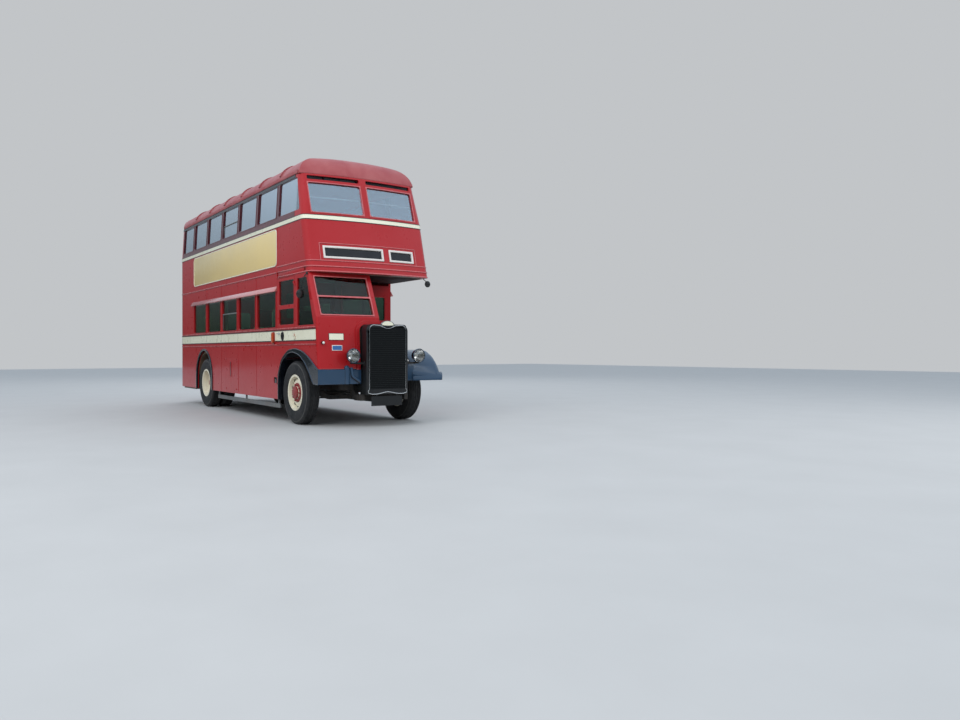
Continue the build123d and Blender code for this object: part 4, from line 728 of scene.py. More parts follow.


# Near-black red for the sheet under the canopy: painted shade
canopyDark = paint("canopyDark", (0.010, 0.003, 0.003), {
    "faded": (0.014, 0.004, 0.004), "roughness": (0.6, 0.75), "dust": 0.0, "specks": 0, "waves": 0.03,
    "specular": 0.15})
deckValances(valanceLook)
rainLook = {"x": (-2.978, 2.218), "nearX": (-2.86, 2.218), "z": (lowerGlassHead, 2.352), "proud": 0.050}


def rainStrip(look):
    # A hood over the lower windows, sloping out to a lip
    low, high = look["z"]
    for place, sign, ends in (("Offside", -1, look["x"]), ("Nearside", 1, look["nearX"])):
        wallY = sign * nearsideY
        inner, outer = wallY - sign * 0.002, wallY + sign * look["proud"]
        outline = [(inner, high), (wallY + sign * 0.006, high), (outer, low + 0.012), (outer, low),
                   (inner, low + 0.010)]
        hang(prism("rainStrip" + place, outline, "x", ends, 0.003), rainRed)


# The rain strip is a paler, pinker red than the body: a painted highlight along it
rainRed = paint("rainRed", (0.50, 0.13, 0.12), {
    "faded": (0.62, 0.27, 0.25), "roughness": (0.2, 0.3), "coat": 0.9, "coatRoughness": 0.1, "dust": 0.0,
    "waves": 0.08})
rainStrip(rainLook)


def sideWindows():
    # A thin frame round each side window, which follows its rounded corners
    rearQuarter, border = (-3.75, -2.97), 0.016
    for place, (lower, upper, sign) in sideSources.items():
        rows = [("lower", lower, bayEnds, lowerGlassFoot, lowerGlassHead, bodyRed),
                ("upper", upper, bayEnds + [rearQuarter], upperGlassFoot, 4.111, maroon)]
        for title, source, ends, foot, top, material in rows:
            for i, (rear, front) in enumerate(ends):
                cuts = [(0, rear - border, front + border), (2, foot - border, top)]
                strip(f"{title}WindowFrame{place}{i}", source, cuts, [(0, sign, 0)], 0.007, material)


sideWindows()
barLook = {"bay": 2, "lowerZ": 1.985, "upperZ": 3.800, "half": 0.011}


def halfDrops(look):
    # Half-drop windows: a bar across and a slim frame round the glass, in the third bay of each deck
    rear, front = bayEnds[look["bay"]]
    for place, sign in sidePairs:
        for title, z, foot, lean in (("lower", look["lowerZ"], lowerGlassFoot, 0),
                                     ("upper", look["upperZ"], upperGlassFoot, 0.022)):
            y, half = sign * (nearsideY - 0.012 - lean), look["half"]
            name = f"{title}HalfDrop{place}"
            pieces = [block(name, (rear + 0.004, y - 0.006, z - half), (front - 0.004, y + 0.006, z + half), 0.003)]
            for x in (rear + 0.016, front - 0.016):
                pieces.append(block("stile", (x - 0.009, y - 0.005, foot + 0.02), (x + 0.009, y + 0.005, z), 0.003))
            hang(joined(pieces, name), dullMetal)


halfDrops(barLook)
advertLook = {"x": (-2.84, 2.205), "z": (2.715, 3.340), "corner": 0.09, "depth": 0.012, "bead": 0.012}


def advertPanels(look):
    # The bare cream panel on each side, held by a slim rounded bead
    (x0, x1), (z0, z1), depth, corner, more = look["x"], look["z"], look["depth"], look["corner"], look["bead"]
    for place, sign in sidePairs:
        y = sign * (nearsideY + depth / 2 - 0.001)
        panel = plate("advertPanel" + place, (x0, x1), (z0, z1), y, "y", depth, corner, soft=0.004, steps=8)
        hang(panel, panelCream)
        bead = plate("advertBead" + place, (x0 - more, x1 + more), (z0 - more, z1 + more), y, "y", depth + 0.006,
                     corner + more, rim=0.018, soft=0.003, steps=8)
        hang(bead, bandCream)


panelCream = paint("panelCream", (0.78, 0.60, 0.26), {
    "faded": (0.72, 0.56, 0.27), "roughness": (0.28, 0.45), "coat": 0.5, "coatRoughness": 0.1, "dust": 0.1,
    "driftScale": 0.9, "speckColour": (0.40, 0.25, 0.10), "waves": 0.10})
advertPanels(advertLook)


def panelJoints():
    # Cover strips on the panel joints at the pillars, below the waist and between the decks
    for place, (lower, upper, sign) in sideSources.items():
        for i, x in enumerate(pillarXs[1:5]):
            low = 1.26 if abs(x - rearAxle) < 0.62 else 0.40
            rows = [("panel", 0.008, (low, 1.327), 0.003, bodyRed),
                    ("band", 0.0015, waistLook["band"], 0.0048, lineBlack),
                    ("head", 0.008, (rainLook["z"][1], 2.583), 0.003, bodyRed)]
            for title, half, heights, proud, material in rows:
                cuts = [(0, *around(x, half)), (2, *heights)]
                strip(f"{title}Joint{place}{i}", lower, cuts, [(0, sign, 0)], proud, material)


panelJoints()
archLook = {"spring": 0.670, "inner": 0.568, "outer": 0.612, "foot": 0.392, "proud": 0.016}


def rearArches(look):
    # A dark moulding round each rear wheel arch
    outline = []
    for radius, way in ((look["outer"], 1), (look["inner"], -1)):
        run = [(rearAxle + radius, look["foot"])]
        for a in range(0, 181, 9):
            angle = math.radians(a)
            run.append((rearAxle + radius * math.cos(angle), look["spring"] + radius * math.sin(angle)))
        run.append((rearAxle - radius, look["foot"]))
        outline += run[::way]
    for place, sign in sidePairs:
        ends = sorted((sign * (nearsideY - 0.03), sign * (nearsideY + look["proud"])))
        hang(prism("rearArch" + place, outline, "y", ends, 0.005), wingBlack)


rearArches(archLook)
print("sides trimmed")
# The front: destination boxes, front windows, the cab and the radiator
destinationLook = {"boxes": {"Long": (-0.870, 0.215), "Short": (0.325, 0.830)}, "z": (2.720, 2.930), "frame": 0.034,
                   "recess": 0.025, "behind": (0, 3.30, None), "beadY": (-0.932, 0.882), "beadZ": (2.690, 2.982),
                   "bead": 0.012}


def destinationBoxes(look):
    # White frames round blank black blinds, and a slim bead round both
    (low, high), gap, behind = look["z"], look["frame"], look["behind"]
    for title, (left, right) in look["boxes"].items():
        outer = [behind, (1, left + 0.001, right - 0.001), (2, low + 0.001, high - 0.001)]
        hole = [(1, left + gap, right - gap), (2, low + gap, high - gap)]
        strip("destinationFrame" + title, "upper_front", outer, [(1, 0, 0)], look["recess"] + 0.008, frameWhite,
              soft=0.004, hole=hole)
        inner = [behind] + [(axis, a - 0.002, b + 0.002) for axis, a, b in hole]
        strip("destinationBlind" + title, "upper_front", inner, [(1, 0, 0)], 0.006, blindAndShadeBlack)
    y, z, bead = look["beadY"], look["beadZ"], look["bead"]
    strip("destinationBead", "upper_front", [behind, (1, *y), (2, *z)], [(1, 0, 0)], 0.009, mouldingRed,
          hole=[(1, y[0] + bead, y[1] - bead), (2, 0, z[1] - bead)])


destinationBoxes(destinationLook)
frontWindowLook = {"panes": {"Offside": (-0.985, -0.065), "Nearside": (0.065, 0.985)}, "z": (3.500, 4.010),
                   "vent": (4.072, 4.133), "ventX": (3.129, 3.139), "frame": 0.016}


def frontWindows(look):
    # Slim frames round the panes, and a dark slot of three straight parts for each vent, painted shade for its opening
    low, high = look["z"]
    gap = look["frame"]
    for place, (left, right) in look["panes"].items():
        cuts = [(0, 3.05, None), (1, left - gap, right + gap), (2, low - gap, high + gap)]
        strip("frontWindowFrame" + place, "upper_front", cuts, [(1, 0, 0)], 0.008, mouldingRed, soft=0.002)
        (x0, x1), (z0, z1) = look["ventX"], look["vent"]
        start, length = left + 0.02, right - left - 0.04
        for i in range(3):
            # Each third of a slot stands further back, as the front is curved
            y0, y1 = start + length * i / 3, start + length * (i + 1) / 3
            back = 0.072 * ((y0 + y1) / 2) ** 2
            outline = [(x0 - back, z0), (x1 - back, z0), (x1 - back, z1), (x0 - back, z1)]
            hang(prism(f"vent{place}{i}", outline, "y", (y0, y1)), blindAndShadeBlack)


frontWindows(frontWindowLook)
cabLook = {"fleetPlate": ((-0.945, -0.682), (1.395, 1.506)), "badge": ((-0.895, -0.715), (1.232, 1.318)),
           "lip": (0.932, 0.946), "screenY": (-1.050, -0.115), "screenZ": (1.805, 2.420), "edge": 0.018,
           "sideLamp": (3.868, -1.052, 1.355)}


def cabFront(look):
    # The windscreen's frame, the blank plates and the lip along the foot of the panel
    (left, right), (low, high), gap = look["screenY"], look["screenZ"], look["edge"]
    cuts = [(1, left - gap, right + gap), (2, low - gap, high + gap)]
    strip("screenFrame", "cab_front", cuts, [(1, 0, 0.25)], 0.010, mouldingRed, soft=0.003)
    rows = [("fleetPlate", look["fleetPlate"], 0.006, lineBlack, bandCream, 0.007),
            ("smallPlate", look["badge"], 0.005, frameWhite, badgeBlue, 0.010)]
    for title, ((left, right), (low, high)), proud, border, material, edge in rows:
        cuts = [(1, left, right), (2, low, high)]
        strip(title + "Rim", "cab_front", cuts, [(1, 0, 0)], proud, border, "plate_black", soft=0.002)
        cuts = [(1, left + edge, right - edge), (2, low + edge, high - edge)]
        strip(title, "cab_front", cuts, [(1, 0, 0)], proud + 0.0012, material)
    strip("panelLip", "cab_front", [(1, -1.143, -0.46), (2, *look["lip"])], frontWays, 0.012, mouldingRed, limit=0.4)
    # A small side lamp stands at the panel's outer corner
    outline = [(0, 0), (0, 0.012), (0.006, 0.024), (0.030, 0.026), (0.042, 0.024), (0.044, 0.0)]
    lamp = turned("sideLampBody", outline, look["sideLamp"], "x", 24)
    hang(lamp, rimBlack)
    outline = [(0.042, 0), (0.043, 0.021), (0.050, 0.018), (0.058, 0.010), (0.061, 0.0)]
    glass = turned("sideLampGlass", outline, look["sideLamp"], "x", 24)
    hang(glass, bulbGlass)


cabFront(cabLook)
doorLook = {"lens": (2.075, 1.458), "oval": (2.470, 1.482), "ovalShare": 0.86, "foot": (2.150, 0.718),
            "slot": (-0.262, 0.868), "flapX": (-0.660, 0.185), "flapZ": (0.420, 1.070), "handle": (2.300, 1.525)}


def cabSide(look):
    # The lamp behind the cab, the door's hand hole and handle, the step hole and the access flap
    y = offsideY
    x, z = look["lens"]
    base = plate("sideLensBase", around(x, 0.045), (z - 0.115, z + 0.105), y - 0.010, "y", 0.020, 0.044, soft=0.004)
    hang(base, hubRed)
    lens = plate("sideLens", around(x, 0.036), (z - 0.098, z + 0.096), y - 0.034, "y", 0.034, 0.035, soft=0.014,
                 steps=6)
    hang(lens, orangeLens)
    x, z = look["oval"]
    outline = [(0, 0), (0, 0.076), (0.010, 0.078), (0.014, 0.072), (0.012, 0.062), (0.002, 0.058), (0.002, 0)]
    rim = turned("handHoleRim", outline, (x, y, z), "-y", 36)
    # The hand hole is a black disc: painted shade for its hollow
    hole = turned("handHole", [(0, 0), (0, 0.060), (0.0075, 0.060), (0.0075, 0)], (x, y, z), "-y", 36)
    for piece in (rim, hole):
        stretched(piece, 0, look["ovalShare"], x)
    hang(rim, rimBlack, body="cab_door")
    hang(hole, blindAndShadeBlack, "wheel_rim_black", body="cab_door")
    x, z = look["handle"]
    outline = [(0, 0), (0, 0.022), (0.004, 0.024), (0.008, 0.020), (0.010, 0.009), (0.034, 0.008), (0.036, 0)]
    spindle = turned("spindle", outline, (x, y, z), "-y", 20)
    lever = tube("lever", [(x - 0.012, y - 0.036, z), (x + 0.05, y - 0.040, z), (x + 0.115, y - 0.030, z - 0.004)],
                 0.008)
    hang(joined([spindle, lever], "cabDoorHandle"), chrome, body="cab_door")
    x, z = look["foot"]
    # The step hole is a black plate: painted shade for its hollow
    hole = plate("stepHole", around(x, 0.075), around(z, 0.055), y - 0.001, "y", 0.006, 0.03)
    hang(hole, blindAndShadeBlack)
    edge = plate("stepHoleEdge", around(x, 0.087), around(z, 0.067), y - 0.003, "y", 0.012, 0.042, rim=0.014,
                 soft=0.003)
    hang(edge, bodyRed)
    x, z = look["slot"]
    # The slot is a dark maroon plate: painted shade for its hollow
    slot = plate("flapSlot", around(x, 0.034), around(z, 0.145), y - 0.005, "y", 0.004, 0.016)
    hang(slot, maroon)
    edge = plate("flapSlotEdge", around(x, 0.046), around(z, 0.157), y - 0.006, "y", 0.010, 0.026, rim=0.013,
                 soft=0.003)
    hang(edge, bodyRed)
    flap = plate("accessFlap", look["flapX"], look["flapZ"], y - 0.0015, "y", 0.005, 0.03, soft=0.0015)
    hang(flap, bodyRed, smooth=20)
    catches = []
    (rear, front), (low, high) = look["flapX"], look["flapZ"]
    for x in (rear + 0.12, front - 0.12):
        catches.append(block("catch", (x - 0.022, y - 0.016, low + 0.04), (x + 0.022, y - 0.003, low + 0.065), 0.004))
        catches.append(block("hinge", (x - 0.03, y - 0.013, high - 0.012), (x + 0.03, y - 0.001, high + 0.008), 0.004))
    hang(joined(catches, "flapCatches"), bodyRed)


cabSide(doorLook)
print("cab trimmed")
radiatorLook = {"half": 0.335, "top": 1.642, "corner": 0.075, "dip": 1.588, "dipHalf": 0.165, "foot": 0.560,
                "flare": 0.022, "line": 0.0075, "bar": 0.640, "badge": (0.124, 0.066, 1.648)}


def radiatorTrim(look):
    # The shell with a rounded edge, its bright line, the blank badge, the mesh and the bar near the foot
    shell = copyOf("radiator", "radiatorShell")
    selectBy(faces=False)
    editAll(shell)
    bpy.ops.mesh.remove_doubles(threshold=2e-5)
    bpy.ops.mesh.dissolve_limited(angle_limit=math.radians(0.5))
    bpy.ops.mesh.select_all(action="DESELECT")
    leaveEdit()
    points = shell.data.vertices
    for edge in shell.data.edges:
        a, b = (points[i].co for i in edge.vertices)
        aside, z = abs((a + b).y) / 2, (a + b).z / 2
        outer = aside > 0.384 or z < 0.531 or z > 1.654 or (z > 1.545 and aside > 0.345)
        edge.select = a.x > 4.0895 and b.x > 4.0895 and outer
    bpy.ops.object.mode_set(mode="EDIT")
    bpy.ops.mesh.bevel(offset=0.026, segments=5, affect="EDGES")
    leaveEdit()
    hang(shell, radiatorBlack, smooth=40)
    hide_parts("radiator")
    # The bright line: round the top's corners into its dip, and down to a foot that flares and waves
    half, top, corner, foot = look["half"], look["top"], look["corner"], look["foot"]
    upper = []
    for a in range(0, 91, 15):
        angle = math.radians(a)
        upper.append((half - corner + corner * math.cos(angle), top - corner + corner * math.sin(angle)))
    for i in range(1, 8):
        t = i / 7
        upper.append((look["dipHalf"] * (1 - t), top + (look["dip"] - top) * math.sin(t * math.pi / 2) ** 1.3))
    flare = -half - look["flare"]
    lower = [(-half, foot + 0.10), (-half - 0.002, foot + 0.06), (flare, foot + 0.03), (flare + 0.004, foot - 0.004)]
    for i in range(1, 9):
        t = i / 8
        wave = 0.030 * math.sin(t * math.pi / 2) ** 4 - 0.006 * math.sin(t * math.pi)
        lower.append((-half + half * i / 8, foot - 0.020 + wave))
    loop = [spot for run in (upper, lower) for spot in run + [(-y, z) for y, z in run[-2::-1]]]
    line = tube("radiatorLine", [(4.0875, y, z) for y, z in loop], look["line"], closed=True)
    hang(line, chrome)
    # The core lies on the face that a ray from ahead meets beside the shell's middle
    face = shell.ray_cast(Vector((4.3, 0.13, 1.10)), Vector((-1, 0, 0)))[1].x
    mesh = block("radiatorCore", (face - 0.001, -0.338, 0.618), (face + 0.004, 0.338, 1.606))
    hang(mesh, coreMesh)
    wires = []
    for i in range(32):
        z = 0.625 + i * 0.0303
        wires.append(block("wire", (face + 0.003, -0.337, z), (face + 0.006, 0.337, z + 0.003)))
    hang(joined(wires, "radiatorWires"), radiatorBlack)
    bar = tube("radiatorBar", [(4.075, -0.338, look["bar"]), (4.075, 0.338, look["bar"])], 0.010)
    hang(bar, radiatorBlack)
    wide, tall, z = look["badge"]
    outline = [(-0.012, 0), (-0.012, 1.0), (-0.004, 1.03), (0.002, 1.0), (0.0025, 0.88), (0.0005, 0.86), (0.0025, 0.5),
               (0.003, 0)]
    badge = turned("radiatorBadge", outline, (4.0862, 0, 0), "x", 48)
    for vertex in badge.data.vertices:
        vertex.co.y *= wide / 1.03
        vertex.co.z = vertex.co.z * tall / 1.03 + z
    badge.data.materials.append(chrome)
    badge.data.materials.append(bandCream)
    for face in badge.data.polygons:
        away = (face.center.y / wide) ** 2 + ((face.center.z - z) / tall) ** 2
        face.material_index = int(away < 0.80 and face.center.x > 4.0862)
    hang(badge, None, "lamp_metal")
    outline = [(0, 0), (0, 0.042), (0.012, 0.045), (0.020, 0.040), (0.026, 0.020), (0.040, 0.016), (0.044, 0)]
    cap = turned("fillerCap", outline, (3.985, 0.0, 1.654), "z", 28)
    hang(cap, radiatorBlack)


radiatorTrim(radiatorLook)
lampLook = {
    "centre": (4.080, 0.610, 1.150), "standX": 4.005,
    "shell": [(0.168, 0), (0.150, 0.052), (0.100, 0.084), (0.050, 0.100), (0.014, 0.1055), (0.002, 0.107),
              (-0.001, 0.112), (0.004, 0.117), (0.016, 0.116), (0.024, 0.112), (0.060, 0.110), (0.120, 0.086),
              (0.165, 0.045), (0.180, 0)],
    "bowl": [(0.163, 0), (0.146, 0.050), (0.098, 0.081), (0.050, 0.097), (0.015, 0.103), (0.0155, 0.1015),
             (0.051, 0.0955), (0.099, 0.0795), (0.145, 0.0485), (0.160, 0)],
    "glass": [(-0.0075, 0), (-0.006, 0.05), (-0.001, 0.088), (0.004, 0.1045), (0.008, 0.1045), (0.003, 0.088),
              (-0.002, 0.05), (-0.0035, 0)],
    "bulb": [(0.155, 0), (0.155, 0.014), (0.105, 0.014), (0.100, 0.020), (0.082, 0.022), (0.070, 0.014), (0.066, 0)],
    "post": [(0, 0), (0, 0.030), (0.012, 0.032), (0.020, 0.022), (0.044, 0.020), (0.060, 0.034), (0.060, 0)]}


def headlamps(look):
    # Deep black shells with a bowl, a bulb and a domed glass
    shell = turned("lampShell", look["shell"], look["centre"], "-x", 48)
    bowl = turned("lampBowl", look["bowl"], look["centre"], "-x", 48)
    lens = turned("lampGlass", look["glass"], look["centre"], "-x", 48)
    bulb = turned("lampBulb", look["bulb"], look["centre"], "-x", 20)
    x = look["standX"]
    arm = tube("lampArm", [(x, 0.380, 1.030), (x, 0.560, 1.030), (x, 0.610, 1.045), (x, 0.610, 1.075)], 0.016,
               bend=0.05)
    post = turned("lampPost", look["post"], (x, 0.610, 1.020), "z", 24)
    foot = block("lampFoot", (x - 0.020, 0.380, 0.990), (x + 0.020, 0.396, 1.070), 0.006)
    stand = joined([arm, post, foot], "lampStand")
    for title, piece, material in (("lampShells", shell, wingBlack), ("lampBowls", bowl, chrome),
                                   ("lampGlasses", lens, lampGlass), ("lampBulbs", bulb, bulbGlass),
                                   ("lampStands", stand, chassisBlack)):
        pair = hang(bothSides(piece, title), material)
        if title == "lampShells":
            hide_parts("headlamps")


lampGlass = glassFinish("lampGlass", (0.95, 0.96, 0.95))
headlamps(lampLook)
print("radiator and lamps made")
wingLook = {"outer": [(2.270, 0.800), (2.440, 1.090), (2.720, 1.240), (3.022, 1.268), (3.320, 1.225), (3.570, 1.127),
                      (3.876, 0.955), (3.930, 0.935)],
            "inner": [(2.300, 0.40), (2.300, 0.800), (2.450, 1.050), (2.720, 1.190), (2.930, 1.215), (3.200, 1.165),
                      (3.430, 1.040), (3.630, 0.850), (3.745, 0.705), (3.930, 0.700)], "bead": 0.008}


def wingBeads(look):
    # Rolled edges along the front wings
    bead = look["bead"]
    outer = tube("wingOuterBead", [(x, -1.156, z) for x, z in look["outer"]], bead, bend=0.09)
    inner = tube("wingInnerBead", [(x, -1.158, z) for x, z in look["inner"]], bead, bend=0.09)
    hang(joined([outer, inner], "wingBeadsOffside"), wingBlack)
    run = [(x, 1.156, z) for x, z in look["inner"][:-2] + [(3.700, 0.760)]]
    near = tube("wingBeadNearside", run, bead, bend=0.09)
    hang(near, wingBlack)
    foot = tube("apronBead", [(3.932, -1.140, 0.706), (3.932, -0.70, 0.706)], 0.009)
    hang(foot, wingBlack)


wingBeads(wingLook)
domeLook = {"swell": [(3.05, 0.0), (3.30, 0.075), (3.45, 0.130), (3.60, 0.180), (3.75, 0.178), (3.85, 0.150),
                      (3.91, 0.085), (3.955, 0.0), (4.0, 0.0)],
            "rim": [(3.05, 1.20), (3.30, 1.11), (3.45, 1.00), (3.60, 0.88), (3.75, 0.79), (3.85, 0.745), (4.0, 0.745)],
            "crown": [(3.05, 1.24), (3.30, 1.17), (3.45, 1.105), (3.60, 1.045), (3.75, 0.955), (3.85, 0.895),
                      (3.95, 0.84), (4.0, 0.84)]}


def onRun(run, x):
    # The height at x on a line given by a few points
    for (x0, z0), (x1, z1) in zip(run, run[1:]):
        if x <= x1:
            return z0 + (z1 - z0) * max(0.0, (x - x0) / (x1 - x0))
    return run[-1][1]


def nearsideDome(look):
    # The nearside wing stays high and rolls over steeply at its front
    dome = copyOf("wing_nearside", "nearsideDome")
    selectBy(faces=True)
    editAll(dome)
    bpy.ops.mesh.remove_doubles(threshold=2e-5)
    leaveEdit()
    for vertex in dome.data.vertices:
        x, z = vertex.co.x, vertex.co.z
        if x > look["swell"][0][0]:
            rim, crown = onRun(look["rim"], x), onRun(look["crown"], x)
            share = min(1.0, max(0.0, (z - rim) / (crown - rim)))
            vertex.co.z = z + onRun(look["swell"], x) * share
    hang(dome, wingBlack, smooth=40)
    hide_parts("wing_nearside")


nearsideDome(domeLook)
mirrorLook = {"offside": (3.450, -1.246, 2.140), "ovalShare": 1.12, "nearsideY": 1.180, "nearsideZ": 2.402}


def mirrorHeads(look):
    # An oval head on a curved arm beside the cab; on the nearside a small round one close under the canopy's corner
    x, y, z = look["offside"]
    outline = [(-0.010, 0), (-0.010, 0.062), (-0.004, 0.068), (0.006, 0.068), (0.018, 0.056), (0.030, 0.026),
               (0.033, 0)]
    back = turned("mirrorBack", outline, (x, y, z), "x", 36)
    glass = turned("mirrorGlassOffside", [(0, 0), (0, 0.060), (0.0015, 0.060), (0.0015, 0)], (x - 0.010, y, z), "-x",
                   36)
    for piece in (back, glass):
        stretched(piece, 2, look["ovalShare"], z)
    run = [(x + 0.050, -1.150, z + 0.330), (x + 0.055, -1.195, z + 0.290), (x + 0.030, y + 0.006, z + 0.150),
           (x + 0.022, y, z + 0.020)]
    arm = tube("arm", run, 0.009, bend=0.05)
    clamp = turned("clamp", [(0, 0), (0, 0.020), (0.022, 0.020), (0.022, 0)], (x + 0.050, -1.140, z + 0.330), "-y", 16)
    run = [(x + 0.080, -1.140, z + 0.120), (x + 0.050, -1.190, z + 0.100), (x + 0.027, y + 0.004, z + 0.060)]
    stay = tube("stay", run, 0.006)
    kept = joined([back, arm, clamp, stay], "mirrorOffside")
    hang(kept, rimBlack)
    hang(glass, chrome)
    y, z = look["nearsideY"], look["nearsideZ"]
    outline = [(-0.010, 0), (-0.010, 0.052), (-0.004, 0.056), (0.006, 0.056), (0.016, 0.046), (0.026, 0.020),
               (0.028, 0)]
    head = turned("mirrorHead", outline, (3.440, y, z), "x", 28)
    run = [(3.400, 1.105, 2.505), (3.420, 1.130, 2.470), (3.456, y - 0.004, 2.430), (3.462, y, z + 0.003)]
    arm = tube("mirrorArm", run, 0.007, bend=0.02)
    nearside = joined([head, arm], "mirrorNearside")
    hang(nearside, rimBlack)
    glass = turned("mirrorGlassNearside", [(0, 0), (0, 0.050), (0.0015, 0.050), (0.0015, 0)], (3.430, y, z), "-x", 28)
    hang(glass, chrome)
    for piece in (kept, nearside):
        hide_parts("mirrors")


mirrorHeads(mirrorLook)
print("wings and mirrors made")
# Wheels and tyres
tyreLook = {"front": 0.980, "rearOuter": 0.990, "rearInner": 0.700, "radius": 0.530, "steps": 72, "groove": 0.009}


def treadedTyre(name, y, x, look):
    # Bulged walls, rounded shoulders and five ribs with cross cuts
    r, g = look["radius"], look["radius"] - look["groove"]
    half = [(0.100, 0.297), (0.114, 0.312), (0.1225, 0.350), (0.125, 0.395), (0.1235, 0.440), (0.118, 0.472),
            (0.1165, 0.4765), (0.1175, 0.4785), (0.112, 0.495), (0.102, 0.512), (0.090, 0.523), (0.079, r - 0.001),
            (0.062, r), (0.060, g), (0.050, g), (0.048, r), (0.026, r), (0.024, g), (0.014, g), (0.012, r)]
    outline = half + [(-a, b) for a, b in half[::-1]] + [(0.0, 0.300), (0.100, 0.297)]
    piece = turned(name, outline, (x, y, axleHeight), "y", look["steps"])
    # Cross cuts: every other face of the outer ribs is pressed in
    wedge = 2 * math.pi / look["steps"]

    def isCut(face):
        away = math.hypot(face.center.x - x, face.center.z - axleHeight)
        across = abs(face.center.y - y)
        place = round(math.atan2(face.center.z - axleHeight, face.center.x - x) / wedge - 0.5)
        return away > r - 0.0035 and 0.026 < across < 0.100 and place % 2 == (0 if across > 0.05 else 1)

    pickFaces(piece, isCut)
    bpy.ops.mesh.inset(thickness=0.0045, depth=-0.006, use_individual=True)
    leaveEdit()
    piece.data.materials.append(tyreRubber)
    piece.data.materials.append(scuffedRubber)
    for face in piece.data.polygons:
        away = math.hypot(face.center.x - x, face.center.z - axleHeight)
        face.material_index = int(0.4765 < away < 0.4965 and abs(face.center.y - y) > 0.1)
    return piece


def tyres(look):
    for place, sign in (("offside", -1), ("nearside", 1)):
        front = treadedTyre("tyreFront_" + place, sign * look["front"], frontAxle, look)
        hang(front, None, "tyre", body="front_wheel_" + place, smooth=38)
        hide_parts("tyre_front_" + place)
        pair = [treadedTyre("tyre", sign * look[row], rearAxle, look) for row in ("rearOuter", "rearInner")]
        rear = joined(pair, "tyresRear_" + place)
        hang(rear, None, "tyre", body="rear_wheels_" + place, smooth=38)
        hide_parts("tyres_rear_" + place)


tyres(tyreLook)
hubLook = {
    "wheels": [("Front", "front_wheel_", "wheel_front_", frontAxle, 1.0465, 1.088),
               ("Rear", "rear_wheels_", "wheels_rear_", rearAxle, 0.9465, 1.098)],
    "slots": 10, "slotCircle": 0.238, "nuts": 10, "nutCircle": 0.136, "bolts": 8, "boltCircle": 0.083,
    "ring": [(-0.006, 0.100), (-0.006, 0.160), (0.004, 0.164), (0.010, 0.158), (0.012, 0.120), (0.012, 0.100),
             (-0.006, 0.100)],
    "barrel": [(0, 0), (0, 0.106), (0.040, 0.104), (0.052, 0.1025), (0.0565, 0.096), (0.060, 0.070), (0.066, 0.054),
               (0.074, 0.044), (0.076, 0)],
    "nut": [(0, 0), (0, 0.019), (0.014, 0.019), (0.018, 0.015), (0.018, 0.009), (0.026, 0.009), (0.028, 0)],
    "bolt": [(0, 0), (0, 0.009), (0.006, 0.009), (0.007, 0)],
    "lip": [(-0.016, 0.292), (-0.010, 0.296), (-0.002, 0.303), (0.003, 0.303), (0.005, 0.297), (0.0, 0.288),
            (-0.014, 0.280), (-0.016, 0.292)],
    "slot": [(-0.006, 0), (-0.006, 0.030), (0.005, 0.031), (0.0075, 0.028), (0.0065, 0)]}


def onCircle(x, y, radius, angle):
    # A place round an axle that runs through x
    return Vector((x + radius * math.cos(angle), y, axleHeight + radius * math.sin(angle)))


def wheelHubs(look):
    # A dark red hub with a ring of nuts and studs, a rolled rim, and a dark disc for each slot of the wheel's dish,
    # painted shade for the hole
    for place, sign in (("offside", -1), ("nearside", 1)):
        axis = "y" if sign > 0 else "-y"
        for title, body, dish, x, face, edge in look["wheels"]:
            centre = (x, sign * face, axleHeight)
            hub = [turned("hubRing", look["ring"], centre, axis, 40),
                   turned("hubBarrel", look["barrel"], centre, axis, 40)]
            for i in range(look["nuts"]):
                spot = onCircle(x, sign * (face + 0.011), look["nutCircle"], 2 * math.pi * i / look["nuts"])
                hub.append(turned("nut", look["nut"], spot, axis, 6))
            for i in range(look["bolts"]):
                spot = onCircle(x, sign * (face + 0.057), look["boltCircle"], 2 * math.pi * (i + 0.5) / look["bolts"])
                hub.append(turned("bolt", look["bolt"], spot, axis, 6))
            hang(joined(hub, f"hub{title}_{place}"), hubRed, body=body + place, smooth=35)
            lip = turned("rimLip", look["lip"], (x, sign * edge, axleHeight), axis, 64)
            lip.name = f"rimLip{title}_{place}"
            slots = []
            for i in range(look["slots"]):
                angle = 2 * math.pi * (i + 0.5) / look["slots"]
                start = onCircle(x, sign * 1.2, look["slotCircle"], angle)
                there, touch = nodes[dish + place].ray_cast(start, Vector((0, -sign, 0)))[:2]
                if there:
                    slot = turned("slot", look["slot"], (0, 0, 0), axis, 18)
                    slot.scale = (0.55, 1, 1)
                    slot.rotation_euler = (0, -angle, 0)
                    slot.location = touch
                    settle(slot)
                    slots.append(slot)
            # Black discs on the dish's slots: painted shade
            hang(joined(slots, f"wheelSlots{title}_{place}"), lineBlack, "wheel_rim_black", body=body + place,
                 smooth=35)
            hang(lip, wheelCream, body=body + place, smooth=40)


wheelHubs(hubLook)
print("wheels made")
# Seats: padded cushions and squabs, each puffed once and copied
seatLook = {"width": 0.860, "depth": 0.420, "cushion": 0.110, "back": 0.470, "rise": 0.440, "lean": 6.7,
            "shrink": 0.011, "swell": 0.014, "bevel": 0.028, "voxel": 0.013, "faces": 3200, "lowerFloor": 0.740,
            "upperFloor": 2.600, "lowerXs": [1.510, 0.810, 0.110, -0.590, -1.290],
            "upperXs": [2.580 - 0.720 * i for i in range(9)], "starts": (-1.078, 0.218), "bench": (-2.643, -1.523)}


